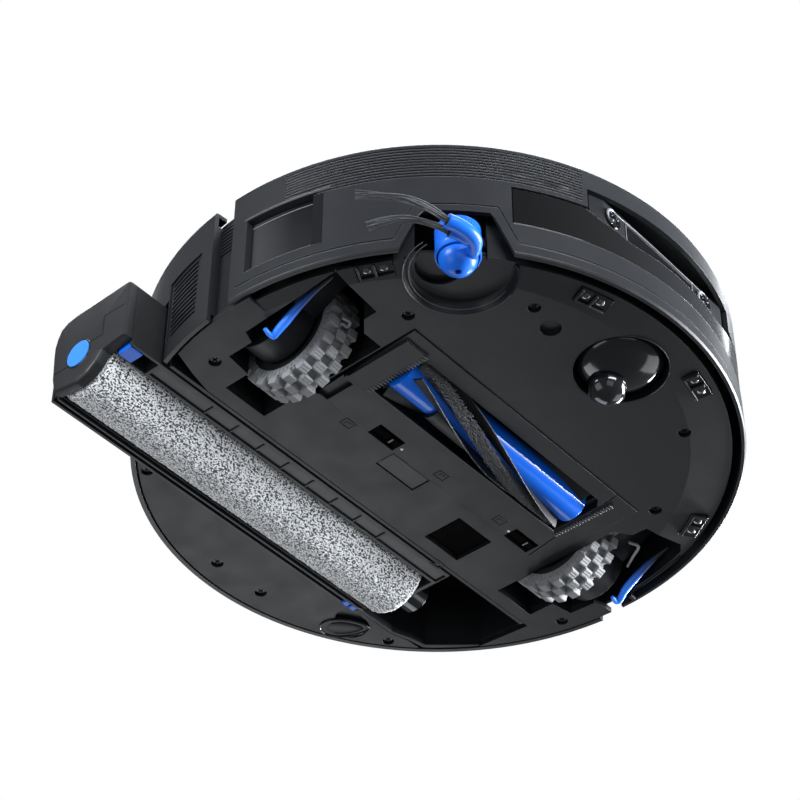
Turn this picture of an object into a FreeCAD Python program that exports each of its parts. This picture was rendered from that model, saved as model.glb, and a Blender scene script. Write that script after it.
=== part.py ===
import FreeCAD, Part
import math
import os

import Sketcher

# Robot vacuum with a roller mop.  The origin is on the floor under the centre
# of the round body.  The front is -Y, the robot's right is -X, and up is +Z.

DIMENSIONS = {
    # body
    "disc_radius": 176.5,
    "body_height": 98,
    "shell_thick": 2.8,
    "rim_round": 3,
    "base_bottom": 14,
    "base_thick": 3.5,
    "base_radius": 172.5,
    "front_radius": 168.5,
    "front_wall": 166.3,
    "frame_radius": 168,
    "deck_bottom": 64,
    "deck_thick": 2.5,
    "cover_thick": 3,
    "cover_radius": 165.6,
    "lid_radius": 112,
    "seam": 0.4,
    "plate_wall": 1.8,
    # bumper
    "bumper_bottom": 16,
    "lip_height": 24,
    "joint_bottom": 19.5,
    "band_bottom": 38.5,
    "band_top": 67,
    "visor_edge": 81.5,
    "sill_height": 63,
    "sill_front": 164.4,
    "groove_pitch": 2.2,
    "groove_depth": 0.6,
    # drive wheels
    "wheel_radius": 35,
    "tyre_width": 21,
    "rim_radius": 26,
    "axle_front": 2,
    "wheel_right": -115.5,
    "wheel_left": 121.5,
    "gearbox_radius": 22,
    "pivot_front": -46,
    "pivot_height": 50,
    "pin_radius": 3,
    "running_fit": 0.05,
    "well_top": 76,
    # main brush
    "brush_front": -36,
    "brush_height": 19,
    "brush_radius": 17.8,
    "core_radius": 11,
    "brush_right": -77,
    "brush_left": 75,
    "cover_right": -98,
    "cover_left": 104,
    "cover_front": -66,
    "cover_rear": 8.5,
    "cover_bottom": 13.2,
    # side brush
    "side_right": -124,
    "side_front": -118,
    "swing_right": -86,
    "barrel_radius": 12.5,
    "barrel_bottom": 13.4,
    "barrel_top": 34,
    "hub_radius": 11,
    "hub_bottom": 3,
    # caster
    "caster_front": -131,
    "socket_radius": 27,
    "caster_radius": 12,
    "caster_width": 13,
    "caster_trail": 11,
    "caster_turn": 42,
    # roller mop
    "bay_front": 53.5,
    "bay_rear": 123.3,
    "bay_top": 62,
    "roller_rear": 94.8,
    "roller_height": 24,
    "roller_radius": 23.7,
    "sleeve_bore": 15,
    "roller_right": -188,
    "roller_left": 73.5,
    "cap_face": -195,
    "cap_thick": 6.4,
    "module_front": 57.8,
    "module_rear": 121.1,
    "module_top": 57,
    "module_bottom": 14,
    "mop_button_radius": 8.5,
}

doc = FreeCAD.newDocument("robot_vacuum")
sheet = doc.addObject("Spreadsheet::Sheet", "Dims")
for row, (alias, number) in enumerate(DIMENSIONS.items(), start=1):
    sheet.set("A%d" % row, alias)
    sheet.set("B%d" % row, str(number))
    sheet.setAlias("B%d" % row, alias)
doc.recompute()


class Size:
    """A number together with the sheet expression that gives it."""

    def __init__(self, value, text=None):
        self.value = float(value)
        self.text = text or "(%.6f)" % value

    def joined(self, other, sign, value):
        return Size(value, "(%s %s %s)" % (self.text, sign, size(other).text))

    def __add__(self, other):
        return self.joined(other, "+", self.value + size(other).value)

    def __sub__(self, other):
        return self.joined(other, "-", self.value - size(other).value)

    def __mul__(self, other):
        return self.joined(other, "*", self.value * size(other).value)

    def __truediv__(self, other):
        return self.joined(other, "/", self.value / size(other).value)

    def __radd__(self, other):
        return size(other) + self

    def __rsub__(self, other):
        return size(other) - self

    def __rmul__(self, other):
        return size(other) * self

    def __neg__(self):
        return size(0) - self


def size(number):
    return number if isinstance(number, Size) else Size(number)


class Sheet:
    """The driving dimensions by name, each as a Size."""

    def __getattr__(self, alias):
        return Size(DIMENSIONS[alias], "Dims." + alias)


D = Sheet()
WAY_PAST = 260
subparts = []


def bind(obj, prop, number):
    obj.setExpression(prop, size(number).text)


def place(obj, where):
    for axis, number in zip("xyz", where):
        bind(obj, "Placement.Base." + axis, number)


def primitive(kind, name, sizes, where=(0, 0, 0), rotation=None):
    obj = doc.addObject("Part::" + kind, name)
    for prop, number in sizes.items():
        bind(obj, prop, number)
    if rotation:
        obj.Placement.Rotation = rotation
    place(obj, where)
    return obj


def turn(axis, degrees):
    return FreeCAD.Rotation(FreeCAD.Vector(*axis), degrees)


ALONG_X = turn((0, 1, 0), 90)


def box(name, low, high):
    sides = [size(b) - a for a, b in zip(low, high)]
    return primitive("Box", name, dict(zip(("Length", "Width", "Height"), sides)), low)


def post(name, radius, centre, low, high):
    """An upright cylinder."""
    sizes = {"Radius": radius, "Height": size(high) - low}
    return primitive("Cylinder", name, sizes, (centre[0], centre[1], low))


def shaft(name, radius, centre, low, high):
    """A cylinder along X; centre is its (y, z)."""
    sizes = {"Radius": radius, "Height": size(high) - low}
    return primitive("Cylinder", name, sizes, (low, centre[0], centre[1]), ALONG_X)


def wedge(name, radius, low, high, first, last):
    """A slice of the disc; angles run from the front towards the robot's right."""
    sizes = {"Radius": radius, "Height": size(high) - low, "Angle": last - first}
    return primitive("Cylinder", name, sizes, (0, 0, low), turn((0, 0, 1), -90 - last))


def fuse(name, *parts):
    obj = doc.addObject("Part::MultiFuse", name)
    obj.Shapes = list(parts)
    return obj


def cut(name, base, *tools):
    obj = doc.addObject("Part::Cut", name)
    obj.Base = base
    obj.Tool = tools[0] if len(tools) == 1 else fuse(name + "_tools", *tools)
    return obj


def common(name, *parts):
    obj = doc.addObject("Part::MultiCommon", name)
    obj.Shapes = list(parts)
    return obj


def group(name, *parts):
    """Separate solids that share one node."""
    obj = doc.addObject("Part::Compound", name)
    obj.Links = list(parts)
    return obj


def ring(name, outer, inner, low, high, centre=(0, 0)):
    middle = post(name + "_bore", inner, centre, size(low) - 1, size(high) + 1)
    return cut(name, post(name + "_outer", outer, centre, low, high), middle)


def ring_slice(name, outer, inner, low, high, first, last):
    middle = post(name + "_bore", inner, (0, 0), size(low) - 1, size(high) + 1)
    return cut(name, wedge(name + "_outer", outer, low, high, first, last), middle)


def both_sides(name, outer, inner, low, high, first, last):
    """The same slice of a ring at the robot's right and at its left."""
    return [ring_slice(name + "_right", outer, inner, low, high, first, last),
            ring_slice(name + "_left", outer, inner, low, high, 360 - last, 360 - first)]


def fillet(name, base, radius, wanted):
    """Round every edge of base that wanted(edge) picks."""
    doc.recompute()
    numbered = enumerate(base.Shape.Edges, start=1)
    picked = [number for number, edge in numbered if wanted(edge)]
    obj = doc.addObject("Part::Fillet", name)
    obj.Base = base
    obj.Edges = [(number, size(radius).value, size(radius).value) for number in picked]
    return obj


def at_height(height):
    level = size(height).value
    return lambda edge: abs(edge.BoundBox.ZMin - level) + abs(edge.BoundBox.ZMax - level) < 0.02


def origin_plane(body, role):
    return next(o for o in body.Origin.OriginFeatures if o.Role == role)


def outline(body, role, points):
    """A closed sketch of straight lines, each corner held by its sheet expression."""
    sketch = body.newObject("Sketcher::SketchObject", body.Name + "_outline")
    sketch.AttachmentSupport = [(origin_plane(body, role), "")]
    sketch.MapMode = "FlatFace"
    corners = [(size(x), size(y)) for x, y in points]
    count = len(corners)
    flat = [FreeCAD.Vector(x.value, y.value, 0) for x, y in corners]
    for i in range(count):
        sketch.addGeometry(Part.LineSegment(flat[i], flat[(i + 1) % count]), False)
    for i in range(count):
        sketch.addConstraint(Sketcher.Constraint("Coincident", i, 2, (i + 1) % count, 1))
    for i, (x, y) in enumerate(corners):
        for kind, number in (("DistanceX", x), ("DistanceY", y)):
            row = sketch.addConstraint(Sketcher.Constraint(kind, -1, 1, i, 1, number.value))
            sketch.setExpression("Constraints[%d]" % row, number.text)
    return sketch


def prism(name, points, low, high):
    """A flat outline in X and Y, raised from low to high."""
    body = doc.addObject("PartDesign::Body", name)
    pad = body.newObject("PartDesign::Pad", name + "_pad")
    pad.Profile = outline(body, "XY_Plane", points)
    bind(pad, "Length", size(high) - low)
    place(body, (0, 0, low))
    return body


def bar(name, points, low, high):
    """A section in Y and Z, drawn out along X from low to high."""
    body = doc.addObject("PartDesign::Body", name)
    pad = body.newObject("PartDesign::Pad", name + "_pad")
    pad.Profile = outline(body, "YZ_Plane", points)
    bind(pad, "Length", size(high) - low)
    place(body, (low, 0, 0))
    return body


def lathe(name, profile, centre=(0, 0), first=0, last=360):
    """A section of (radius, height) points, revolved about an upright axis."""
    body = doc.addObject("PartDesign::Body", name)
    revolution = body.newObject("PartDesign::Revolution", name + "_revolution")
    sketch = outline(body, "XZ_Plane", profile)
    revolution.Profile = sketch
    revolution.ReferenceAxis = (sketch, ["V_Axis"])
    bind(revolution, "Angle", last - first)
    body.Placement.Rotation = turn((0, 0, 1), -90 - last)
    place(body, (centre[0], centre[1], 0))
    return body


def finish(obj, label):
    obj.Label = label
    subparts.append(obj)
    return obj


# --- wheel wells ------------------------------------------------------------

BASE_TOP = D.base_bottom + D.base_thick
RIGHT_WELL = [(-157, -62), (-121, -59), (-121, -50), (-113, -43), (-99, -43), (-99, 44),
              (-130, 44), (-130, 27), (-147, 25), (-147, 8), (-155, 5)]
LEFT_WELL = [(148, -65), (120, -60), (120, -50), (110, -43), (110, 45), (142, 45),
             (142, 28), (157, 25), (158, 8), (167, 5), (167, -20), (158, -58)]


def grown(points, amount):
    """The outline moved outwards by amount, corner by corner."""
    middle_x = sum(x for x, y in points) / len(points)
    middle_y = sum(y for x, y in points) / len(points)
    moved = []
    for x, y in points:
        step_x = amount if x > middle_x else -amount
        step_y = amount if y > middle_y else -amount
        moved.append((x + step_x, y + step_y))
    return moved


def wheel_housing(side, well):
    outer = common(
        side + "_well_outer",
        prism(side + "_well_wall", grown(well, DIMENSIONS["plate_wall"]), BASE_TOP + 0.1, D.well_top),
        post(side + "_well_limit", D.frame_radius, (0, 0), 0, 100),
    )
    inner = common(
        side + "_well_inner",
        prism(side + "_well_space", well, 0, D.well_top - D.plate_wall),
        post(side + "_well_inside", D.frame_radius - D.plate_wall, (0, 0), 0, 100),
    )
    finish(cut(side + "_housing", outer, inner), "wheel_housing_" + side)


# --- base plate ---------------------------------------------------------------

CLIFF_SENSORS = [(-52.6, -151.6, -17), (38.6, -154.5, 12), (-144.2, -78.2, -64), (137.5, -82, 59)]
BASE_SCREWS = [(-69, -125), (65, -127), (-108, -70), (110, -74), (-149, 34), (160, 34)]
REAR_SCREWS = [(-20, 157), (18, 157), (-108, 128), (106, 130)]
SCREW_RADIUS = 3.2
SENSOR_LONG = 20
SENSOR_WIDE = 10


def sensor_box(name, spot, grow, low, high):
    x, y, angle = spot
    rotation = turn((0, 0, 1), angle)
    corner = rotation.multVec(FreeCAD.Vector(-SENSOR_LONG / 2 - grow, -SENSOR_WIDE / 2 - grow, 0))
    sides = {
        "Length": SENSOR_LONG + 2 * grow,
        "Width": SENSOR_WIDE + 2 * grow,
        "Height": size(high) - low,
    }
    return primitive("Box", name, sides, (x + corner.x, y + corner.y, low), rotation)


def side_brush_opening(name, radius, low, high):
    """The path that the side brush's barrel sweeps as its arm swings in."""
    reach = D.side_right - D.swing_right
    spots = []
    for step, angle in enumerate((0, 8, 16, 24)):
        swing = math.radians(angle)
        x = D.swing_right + reach * math.cos(swing)
        y = D.side_front - reach * math.sin(swing)
        spots.append(post("%s_%d" % (name, step), radius, (x, y), low, high))
    return fuse(name, *spots)


# The plate's front edge rises as a shallow cone about an axis a little off centre.
FRONT_END = -14
FRONT_CONE = [(152.5, 10), (205, 10), (205, 20.3), (152.5, 14)]
DISH_CENTRE = (-113.5, -111)
DISH_RADIUS = 30.8


def base_plate():
    edge = D.bay_front
    plate = prism(
        "base_outline",
        [(-180, -180), (180, -180), (180, 91), (147, 91), (150, edge), (-135, edge),
         (-150, edge - 3.5), (-166, edge - 8.5), (-180, edge - 10)],
        D.base_bottom, BASE_TOP,
    )
    disc = post("base_disc", D.base_radius, (0, 0), D.base_bottom, BASE_TOP)
    front = box("front_half", (-190, -190, 0), (190, FRONT_END, 60))
    overhang = cut("front_trim", front, post("front_disc", D.front_radius, (0, 0), 0, 60))
    slope = common("front_slope", front, lathe("front_cone", FRONT_CONE, (-8, 4)))
    wall = ring_slice("front_wall", D.front_wall + D.plate_wall, D.front_wall,
                      BASE_TOP - 0.5, D.deck_bottom - 2, -64, 64)
    holes = [
        overhang,
        slope,
        prism("right_well_hole", RIGHT_WELL, 0, 30),
        prism("left_well_hole", LEFT_WELL, 0, 30),
        box("notch_hole", (155, -12, 0), (185, 5, 30)),
        post("caster_hole", D.socket_radius, (0, D.caster_front), 0, 30),
        box("cover_hole", (D.cover_right, D.cover_front, 0), (D.cover_left, D.cover_rear, 30)),
        post("dish_hole", DISH_RADIUS + 0.2, DISH_CENTRE, 0, BASE_TOP + 1),
        side_brush_opening("wall_slot", D.barrel_radius + 3.6, 0, 70),
        box("sill_room", (-78, -190, 39), (78, -150, 70)),
        box("window_recess", (41, 18, 0), (71, 45, BASE_TOP - 0.8)),
        box("finger_recess", (-28, 9.5, 0), (4, 23, D.base_bottom + 1.6)),
        post("sensor_hole", 6, (-51, -122), 0, BASE_TOP - 0.8),
    ]
    for number, (x, y) in enumerate(BASE_SCREWS):
        holes.append(post("base_screw_hole_%d" % number, SCREW_RADIUS + 0.5, (x, y), 0, BASE_TOP - 0.8))
    for number, spot in enumerate(CLIFF_SENSORS):
        holes.append(sensor_box("sensor_gap_%d" % number, spot, 0.4, 0, 30))
    flat = cut("base_flat", fuse("base_round", common("base_plan", plate, disc), wall), *holes)
    finish(flat, "base_plate")


def side_brush_dish():
    """The hollow above the side brush, cut off where the bumper moves."""
    floor = 20
    profile = [(0, floor), (26.8, floor), (28.2, floor - 1), (DISH_RADIUS, 14.2), (DISH_RADIUS, 17.4),
               (29.4, floor + 2), (0, floor + 2)]
    bowl = lathe("dish_bowl", profile, DISH_CENTRE)
    trimmed = common("dish_trimmed", bowl, post("dish_limit", D.front_wall - 0.1, (0, 0), 0, 60))
    opening = side_brush_opening("dish_slot", D.barrel_radius + 0.7, 0, 60)
    finish(cut("dish_cut", trimmed, opening), "side_brush_dish")


def small_fittings():
    sensors = [sensor_box("cliff_%d" % i, spot, 0, D.base_bottom + 0.8, BASE_TOP + 0.6)
               for i, spot in enumerate(CLIFF_SENSORS)]
    finish(group("cliff_group", *sensors), "cliff_sensors")
    screws = []
    for number, (x, y) in enumerate(BASE_SCREWS + REAR_SCREWS):
        low = D.base_bottom + 1.6
        head = post("screw_%d" % number, SCREW_RADIUS, (x, y), low, BASE_TOP - 0.9)
        slots = [
            box("screw_%d_slot" % number, (x - 1.8, y - 0.4, 0), (x + 1.8, y + 0.4, low + 0.9)),
            box("screw_%d_cross" % number, (x - 0.4, y - 1.8, 0), (x + 0.4, y + 1.8, low + 0.9)),
        ]
        screws.append(cut("screw_%d_head" % number, head, *slots))
    finish(group("screw_group", *screws), "base_screws")


def rear_bottom_cover():
    plate = prism(
        "rear_outline",
        [(-180, D.bay_rear + 0.3), (100, D.bay_rear + 0.3), (113, 120.2), (180, 119),
         (180, 180), (-180, 180)],
        D.base_bottom, BASE_TOP,
    )
    disc = post("rear_disc", D.base_radius, (0, 0), D.base_bottom, BASE_TOP)
    holes = [post("rear_screw_hole_%d" % i, SCREW_RADIUS + 0.5, spot, 0, BASE_TOP - 0.8)
             for i, spot in enumerate(REAR_SCREWS)]
    holes.append(post("drain_wide", 11.9, (79, 138), 0, 30))
    holes.append(post("drain_narrow", 8.4, (72, 133), 0, 30))
    finish(cut("rear_plate", common("rear_round", plate, disc), *holes), "rear_bottom_cover")
    seal = fuse(
        "drain_body",
        post("drain_round", 11.5, (79, 138), D.base_bottom + 2, 24),
        post("drain_lobe", 8, (72, 133), D.base_bottom + 2, 24),
    )
    port = post("drain_port", 6, (80, 139), 0, 20)
    finish(cut("drain_ring", seal, port), "drain_plug")


# --- shells -------------------------------------------------------------------

def shell_section(low):
    inner = D.disc_radius - D.shell_thick
    top = D.body_height
    rim = D.cover_radius + 0.5 + D.plate_wall
    return [(inner, low), (D.disc_radius, low), (D.disc_radius, top), (rim, top),
            (rim, top - D.cover_thick), (inner, top - D.cover_thick)]


SHELL_START = 94.6
JOINT_TOP = 88
JOINT_RIBS = 8


def rear_shell():
    blank = lathe("rear_blank", shell_section(D.base_bottom), first=SHELL_START, last=360 - SHELL_START)
    rounded = fillet("rear_rounded", blank, D.rim_round, lambda edge: (
        at_height(D.body_height)(edge) and edge.BoundBox.YMax > DIMENSIONS["disc_radius"] - 1))
    mop_gate = box("mop_gate", (-WAY_PAST, D.bay_front + 1.8, 0),
                   (-100, D.bay_rear - 1.6, D.bay_top - 1.4))
    vent_hole = wedge("vent_hole", WAY_PAST, 27, 72, 97.6, 108.1)
    walls = [rounded]
    joint = D.cover_radius + 3.9
    back = joint - 1.3
    past = SHELL_START + 2
    walls += both_sides("rear_joint", joint, back, D.joint_bottom, JOINT_TOP, 89, past)
    walls += both_sides("rear_web", D.disc_radius - 1, back, D.joint_bottom, JOINT_TOP, SHELL_START, past)
    for i in range(JOINT_RIBS):
        high = JOINT_TOP - 1.4 - 2.7 * i
        walls += both_sides("rear_rib_%d" % i, joint + 1, joint - 0.5, high - 1.2, high, 90, SHELL_START + 1)
    solid = fuse("rear_solid", *walls)
    finish(cut("rear_wall", solid, mop_gate, vent_hole), "rear_shell")
    plate = ring_slice("vent_plate", D.disc_radius - 1, D.disc_radius - 3.4, 27.2, 71.8, 97.7, 108)
    slots = [wedge("vent_slot_%d" % i, WAY_PAST, 29 + 3.5 * i, 30.9 + 3.5 * i, 98.8, 107.2)
             for i in range(12)]
    finish(cut("vent_cut", plate, *slots), "vent_grille")


def top_cover():
    top = D.body_height
    plate = post("cover_disc", D.cover_radius, (0, 0), top - D.cover_thick - 3.4, top)
    lip_top = top - D.cover_thick - 0.6
    lip = post("cover_lip", D.cover_radius + 1.7, (0, 0), lip_top - 2.8, lip_top)
    room = post("cover_room", D.cover_radius - 2.5, (0, 0), 0, top - D.cover_thick)
    disc = cut("cover_ring", fuse("cover_solid", plate, lip), room)
    lid_seat = post("lid_seat", D.lid_radius + 0.5, (0, 14), top - D.cover_thick + 1.2, top + 5)
    bin_way = post("bin_way", D.lid_radius - 6, (0, 14), 0, top + 5)
    button_way = post("button_way", 9.5, (0, -132), 0, top + 5)
    finish(cut("cover_cut", disc, lid_seat, bin_way, button_way), "top_cover")
    lid = post("lid_disc", D.lid_radius, (0, 14), top - D.cover_thick + 1.3, top)
    grip = post("lid_grip", 10, (0, -84), top - 0.9, top + 5)
    rounded = fillet("lid_rounded", lid, 0.8, at_height(top))
    finish(cut("lid_cut", rounded, grip), "lid")
    cap = post("button_cap", 9.1, (0, -132), top - 4.5, top + 0.6)
    collar = post("button_collar", 11, (0, -132), top - 6.5, top - 4.5)
    finish(fuse("button_body", cap, collar), "power_button")


def mid_frame():
    top = D.deck_bottom + D.deck_thick
    deck = post("deck_disc", D.frame_radius, (0, 0), D.deck_bottom, top)
    gap = DIMENSIONS["plate_wall"] + 0.6
    holes = [
        prism("deck_right_well", grown(RIGHT_WELL, gap), 0, 100),
        prism("deck_left_well", grown(LEFT_WELL, gap), 0, 100),
        box("deck_bin_hole", (-73, -63, 0), (41, 49, 100)),
        post("deck_fan_hole", 30, (73, -18), 0, 100),
        box("deck_cable_hole", (-30, -72, 0), (30, -66, 100)),
        box("deck_sensor_hole", (-72, -180, 0), (65, -148, 100)),
    ]
    finish(cut("deck_cut", deck, *holes), "mid_frame")


# --- bumper -------------------------------------------------------------------

BUMPER_RIGHT = 89.4
BUMPER_LEFT = -89.4
RECESS_RIGHT = 22.5
RECESS_LEFT = -20
GROOVES = 11
FIRST_GROOVE = 70.5
NOTCH_TURN = 46.7


def sill_section(depth):
    """The slanted front face under the sensor bar, as a slab of the given depth."""
    foot = D.disc_radius
    return [(-foot, D.band_bottom), (-D.sill_front, D.sill_height),
            (depth - D.sill_front, D.sill_height), (depth - foot, D.band_bottom)]


def bumper():
    inner = D.disc_radius - D.shell_thick
    top = D.body_height
    rim = D.cover_radius + 5
    low = D.bumper_bottom
    section = [(inner, low), (D.disc_radius - 1, low), (D.disc_radius, low + 1.2),
               (D.disc_radius, top), (rim, top), (rim, top - D.cover_thick), (inner, top - D.cover_thick)]
    blank = lathe("bumper_blank", section, first=BUMPER_LEFT, last=BUMPER_RIGHT)
    rounded = fillet("bumper_rounded", blank, D.rim_round, lambda edge: (
        at_height(D.body_height)(edge) and edge.BoundBox.YMin < 1 - DIMENSIONS["disc_radius"]))
    collar = ring_slice("window_collar", D.disc_radius - 1, D.disc_radius - 7.2, 31, 73, 70.3, 87.2)
    shelf = ring_slice("dust_shelf", D.disc_radius - 2, D.cover_radius - 3.6, 88.4, 90.2, -86, 86)
    solid = fuse("bumper_solid", rounded, collar, shelf)
    line = D.lip_height
    lip_ring = ring_slice("lip_ring", WAY_PAST, D.disc_radius - 0.7, line - 0.5, line + 0.5, -88, 88)
    skin = ring_slice("lip_skin", WAY_PAST, D.disc_radius - 0.7, 0, 60, 30, 65)
    around = cut("lip_around", brush_notch("lip_outer", 5.6), brush_notch("lip_inner", 4.7))
    tools = [
        cut("lip_line", lip_ring, brush_notch("lip_break", 5)),
        common("lip_turn", skin, around, post("lip_low", WAY_PAST, (0, 0), line - 0.5, 60)),
        wedge("window_hole", WAY_PAST, 32, 72, 71.5, 86),
        wedge("band_hole", WAY_PAST, D.band_bottom, D.band_top, -37, 37),
        wedge("recess_hole", WAY_PAST, D.sill_height - 3, D.visor_edge, RECESS_LEFT, RECESS_RIGHT),
        brush_notch("brush_notch", 0),
    ]
    for i in range(GROOVES):
        height = FIRST_GROOVE + i * D.groove_pitch
        tools.append(ring_slice("groove_%d" % i, WAY_PAST, D.disc_radius - D.groove_depth,
                                height, height + 0.9, RECESS_RIGHT + 1, 78))
    finish(cut("bumper_cut", solid, *tools), "bumper_shell")


def brush_notch(name, grow):
    """The gap in the bumper's lower edge for the side brush, or an outline that much larger."""
    reach = math.radians(NOTCH_TURN)
    half_foot, half_knee, half_top = 33 + 1.1 * grow, 29 + 1.1 * grow, 19 + 0.65 * grow
    body = doc.addObject("PartDesign::Body", name)
    pad = body.newObject("PartDesign::Pad", name + "_pad")
    points = [(-half_foot, 8), (-half_knee, 20), (-half_top, 44 + grow), (half_top, 44 + grow),
              (half_knee, 20), (half_foot, 8)]
    pad.Profile = outline(body, "XZ_Plane", points)
    bind(pad, "Length", 60)
    body.Placement.Rotation = turn((0, 0, 1), -NOTCH_TURN)
    place(body, (-150 * math.sin(reach), -150 * math.cos(reach), 0))
    return body


def front_sensors():
    gap = 0.15
    band = ring_slice("band_ring", D.disc_radius, D.disc_radius - D.shell_thick,
                      D.band_bottom + gap, D.band_top - gap, -36.9, 36.9)
    span = D.disc_radius * math.sin(math.radians(RECESS_RIGHT))
    reach = D.disc_radius * math.sin(math.radians(-RECESS_LEFT))
    clear = bar("sill_clear", [(-190, D.band_bottom), (-D.disc_radius, D.band_bottom),
                               (-D.sill_front, D.sill_height), (-D.sill_front, 90), (-190, 90)],
                -span, reach)
    above = wedge("recess_clear", WAY_PAST, D.sill_height, 90, RECESS_LEFT, RECESS_RIGHT)
    cut_band = cut("band_cut", band, clear, above)
    slab = common("sill_slab", bar("sill_bar", sill_section(3), -span + gap, reach - gap),
                  post("sill_limit", D.disc_radius, (0, 0), D.band_bottom + gap, 90))
    finish(fuse("band_solid", cut_band, slab), "bumper_band")
    low = D.sill_height + 0.2
    high = D.visor_edge + 1.2
    bar_block = common("sensor_block", box("sensor_box", (-64, -164.6, low), (57, -154, high)),
                       post("sensor_limit", D.disc_radius - 3, (0, 0), 0, 99))
    lens_spots = [(-48, 71.5), (37, 72.5)]
    holes = [lens_post("lens_hole_%d" % i, 6.2, spot, -170, -156) for i, spot in enumerate(lens_spots)]
    holes.append(box("glass_hole", (-36, -170, 66), (27, -162.9, 79)))
    finish(cut("sensor_cut", bar_block, *holes), "sensor_bar")
    finish(box("glass_box", (-35.9, -164.4, 66.1), (26.9, -163, 78.9)), "sensor_glass")
    lenses = []
    for i, spot in enumerate(lens_spots):
        barrel = lens_post("lens_barrel_%d" % i, 6, spot, -165.4, -157)
        hollow = lens_post("lens_hollow_%d" % i, 4.6, spot, -166, -163.6)
        lenses.append(cut("lens_%d" % i, barrel, hollow))
    finish(group("lens_group", *lenses), "camera_lenses")
    panel = ring_slice("panel_ring", D.disc_radius - 4.9, D.disc_radius - 6.5, 32.2, 71.8, 71.6, 85.9)
    finish(panel, "side_window")


def lens_post(name, radius, spot, front, back):
    """A cylinder along Y; spot is its (x, z)."""
    sizes = {"Radius": radius, "Height": size(back) - front}
    return primitive("Cylinder", name, sizes, (spot[0], front, spot[1]), turn((1, 0, 0), -90))


# --- drive wheels --------------------------------------------------------------

def wheel_unit(side, sign, centre, reach):
    """Suspension arm with gearbox, hub, tyre and climbing lever of one side.

    reach is how far the gearbox stands out past the tyre.
    """
    axle = (D.axle_front, D.wheel_radius)
    pivot = (D.pivot_front, D.pivot_height)

    def across(near, far):
        ends = [centre + sign * size(near), centre + sign * size(far)]
        return sorted(ends, key=lambda end: end.value)

    half = D.tyre_width / 2
    near, far = across(half + 0.8, half + reach)
    round_box = shaft(side + "_gearbox", D.gearbox_radius, axle, near, far)
    arm_points = [(-46, 57), (-10, 54), (2, 57), (2, 14), (-20, 30), (-46, 43)]
    arm = bar(side + "_arm_bar", arm_points, near, far)
    boss = shaft(side + "_arm_boss", 7, pivot, near, far)
    low, high = across(half - 3, half + reach + 2)
    pin_hole = shaft(side + "_pin_hole", D.pin_radius + D.running_fit, pivot, low, high)
    axle_low, axle_high = across(half - 4, half + 8)
    axle_hole = shaft(side + "_axle_hole", 3 + D.running_fit, axle, axle_low, axle_high)
    joined = fuse(side + "_arm_solid", round_box, arm, boss)
    finish(cut(side + "_arm_cut", joined, pin_hole, axle_hole), "wheel_arm_" + side)

    low, high = across(-half + 1.5, half - 1.5)
    rim = shaft(side + "_rim", D.rim_radius, axle, low, high)
    dish_low, dish_high = across(-half, -half + 7)
    dish = shaft(side + "_rim_dish", D.rim_radius - 5, axle, dish_low, dish_high)
    back_low, back_high = across(half - 7, half)
    back = shaft(side + "_rim_back", D.rim_radius - 5, axle, back_low, back_high)
    stub_low, stub_high = across(0, half + 7)
    stub = shaft(side + "_axle_stub", 3, axle, stub_low, stub_high)
    rim_cut = cut(side + "_rim_cut", rim, dish, back)
    finish(fuse(side + "_hub_solid", rim_cut, stub), "wheel_hub_" + side)

    low, high = across(-half, half)
    tread = shaft(side + "_tread", D.wheel_radius, axle, low, high)
    bore = shaft(side + "_tread_bore", D.rim_radius, axle, low - 1, high + 1)
    finish(cut(side + "_tyre_cut", tread, bore), "tyre_" + side)

    finish(climb_lever(side, sign, centre + sign * (half + reach + 1.6)), "climb_lever_" + side)
    return shaft(side + "_pin", D.pin_radius, pivot, *across(half - 2, half + reach + 1.2))


LEVER_TILT = -25
LEVER_PIVOT = (-50, 32)


def climb_lever(side, sign, inner):
    """A blue strip beside the gearbox with a hooked foot at its rear end."""
    outer = inner + sign * 4.2
    slim = inner + sign * 1.9
    hook = inner + sign * 8.6
    points = [(inner, -3), (inner, 41), (inner + sign * 0.6, 43.5), (outer, 45), (hook, 38.5),
              (hook - sign * 3, 35), (outer, 39.4), (outer, 20), (slim, -3)]
    if sign < 0:
        points.reverse()
    body = doc.addObject("PartDesign::Body", side + "_lever")
    pad = body.newObject("PartDesign::Pad", side + "_lever_pad")
    pad.Profile = outline(body, "XY_Plane", points)
    bind(pad, "Length", 6)
    pad.Midplane = True
    body.Placement.Rotation = turn((1, 0, 0), LEVER_TILT)
    place(body, (0, LEVER_PIVOT[0], LEVER_PIVOT[1]))
    near, far = sorted((inner, slim), key=lambda end: end.value)
    boss = shaft(side + "_lever_boss", 3.4, LEVER_PIVOT, near, far)
    return fuse(side + "_lever_solid", body, boss)


# --- main brush -----------------------------------------------------------------

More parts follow.
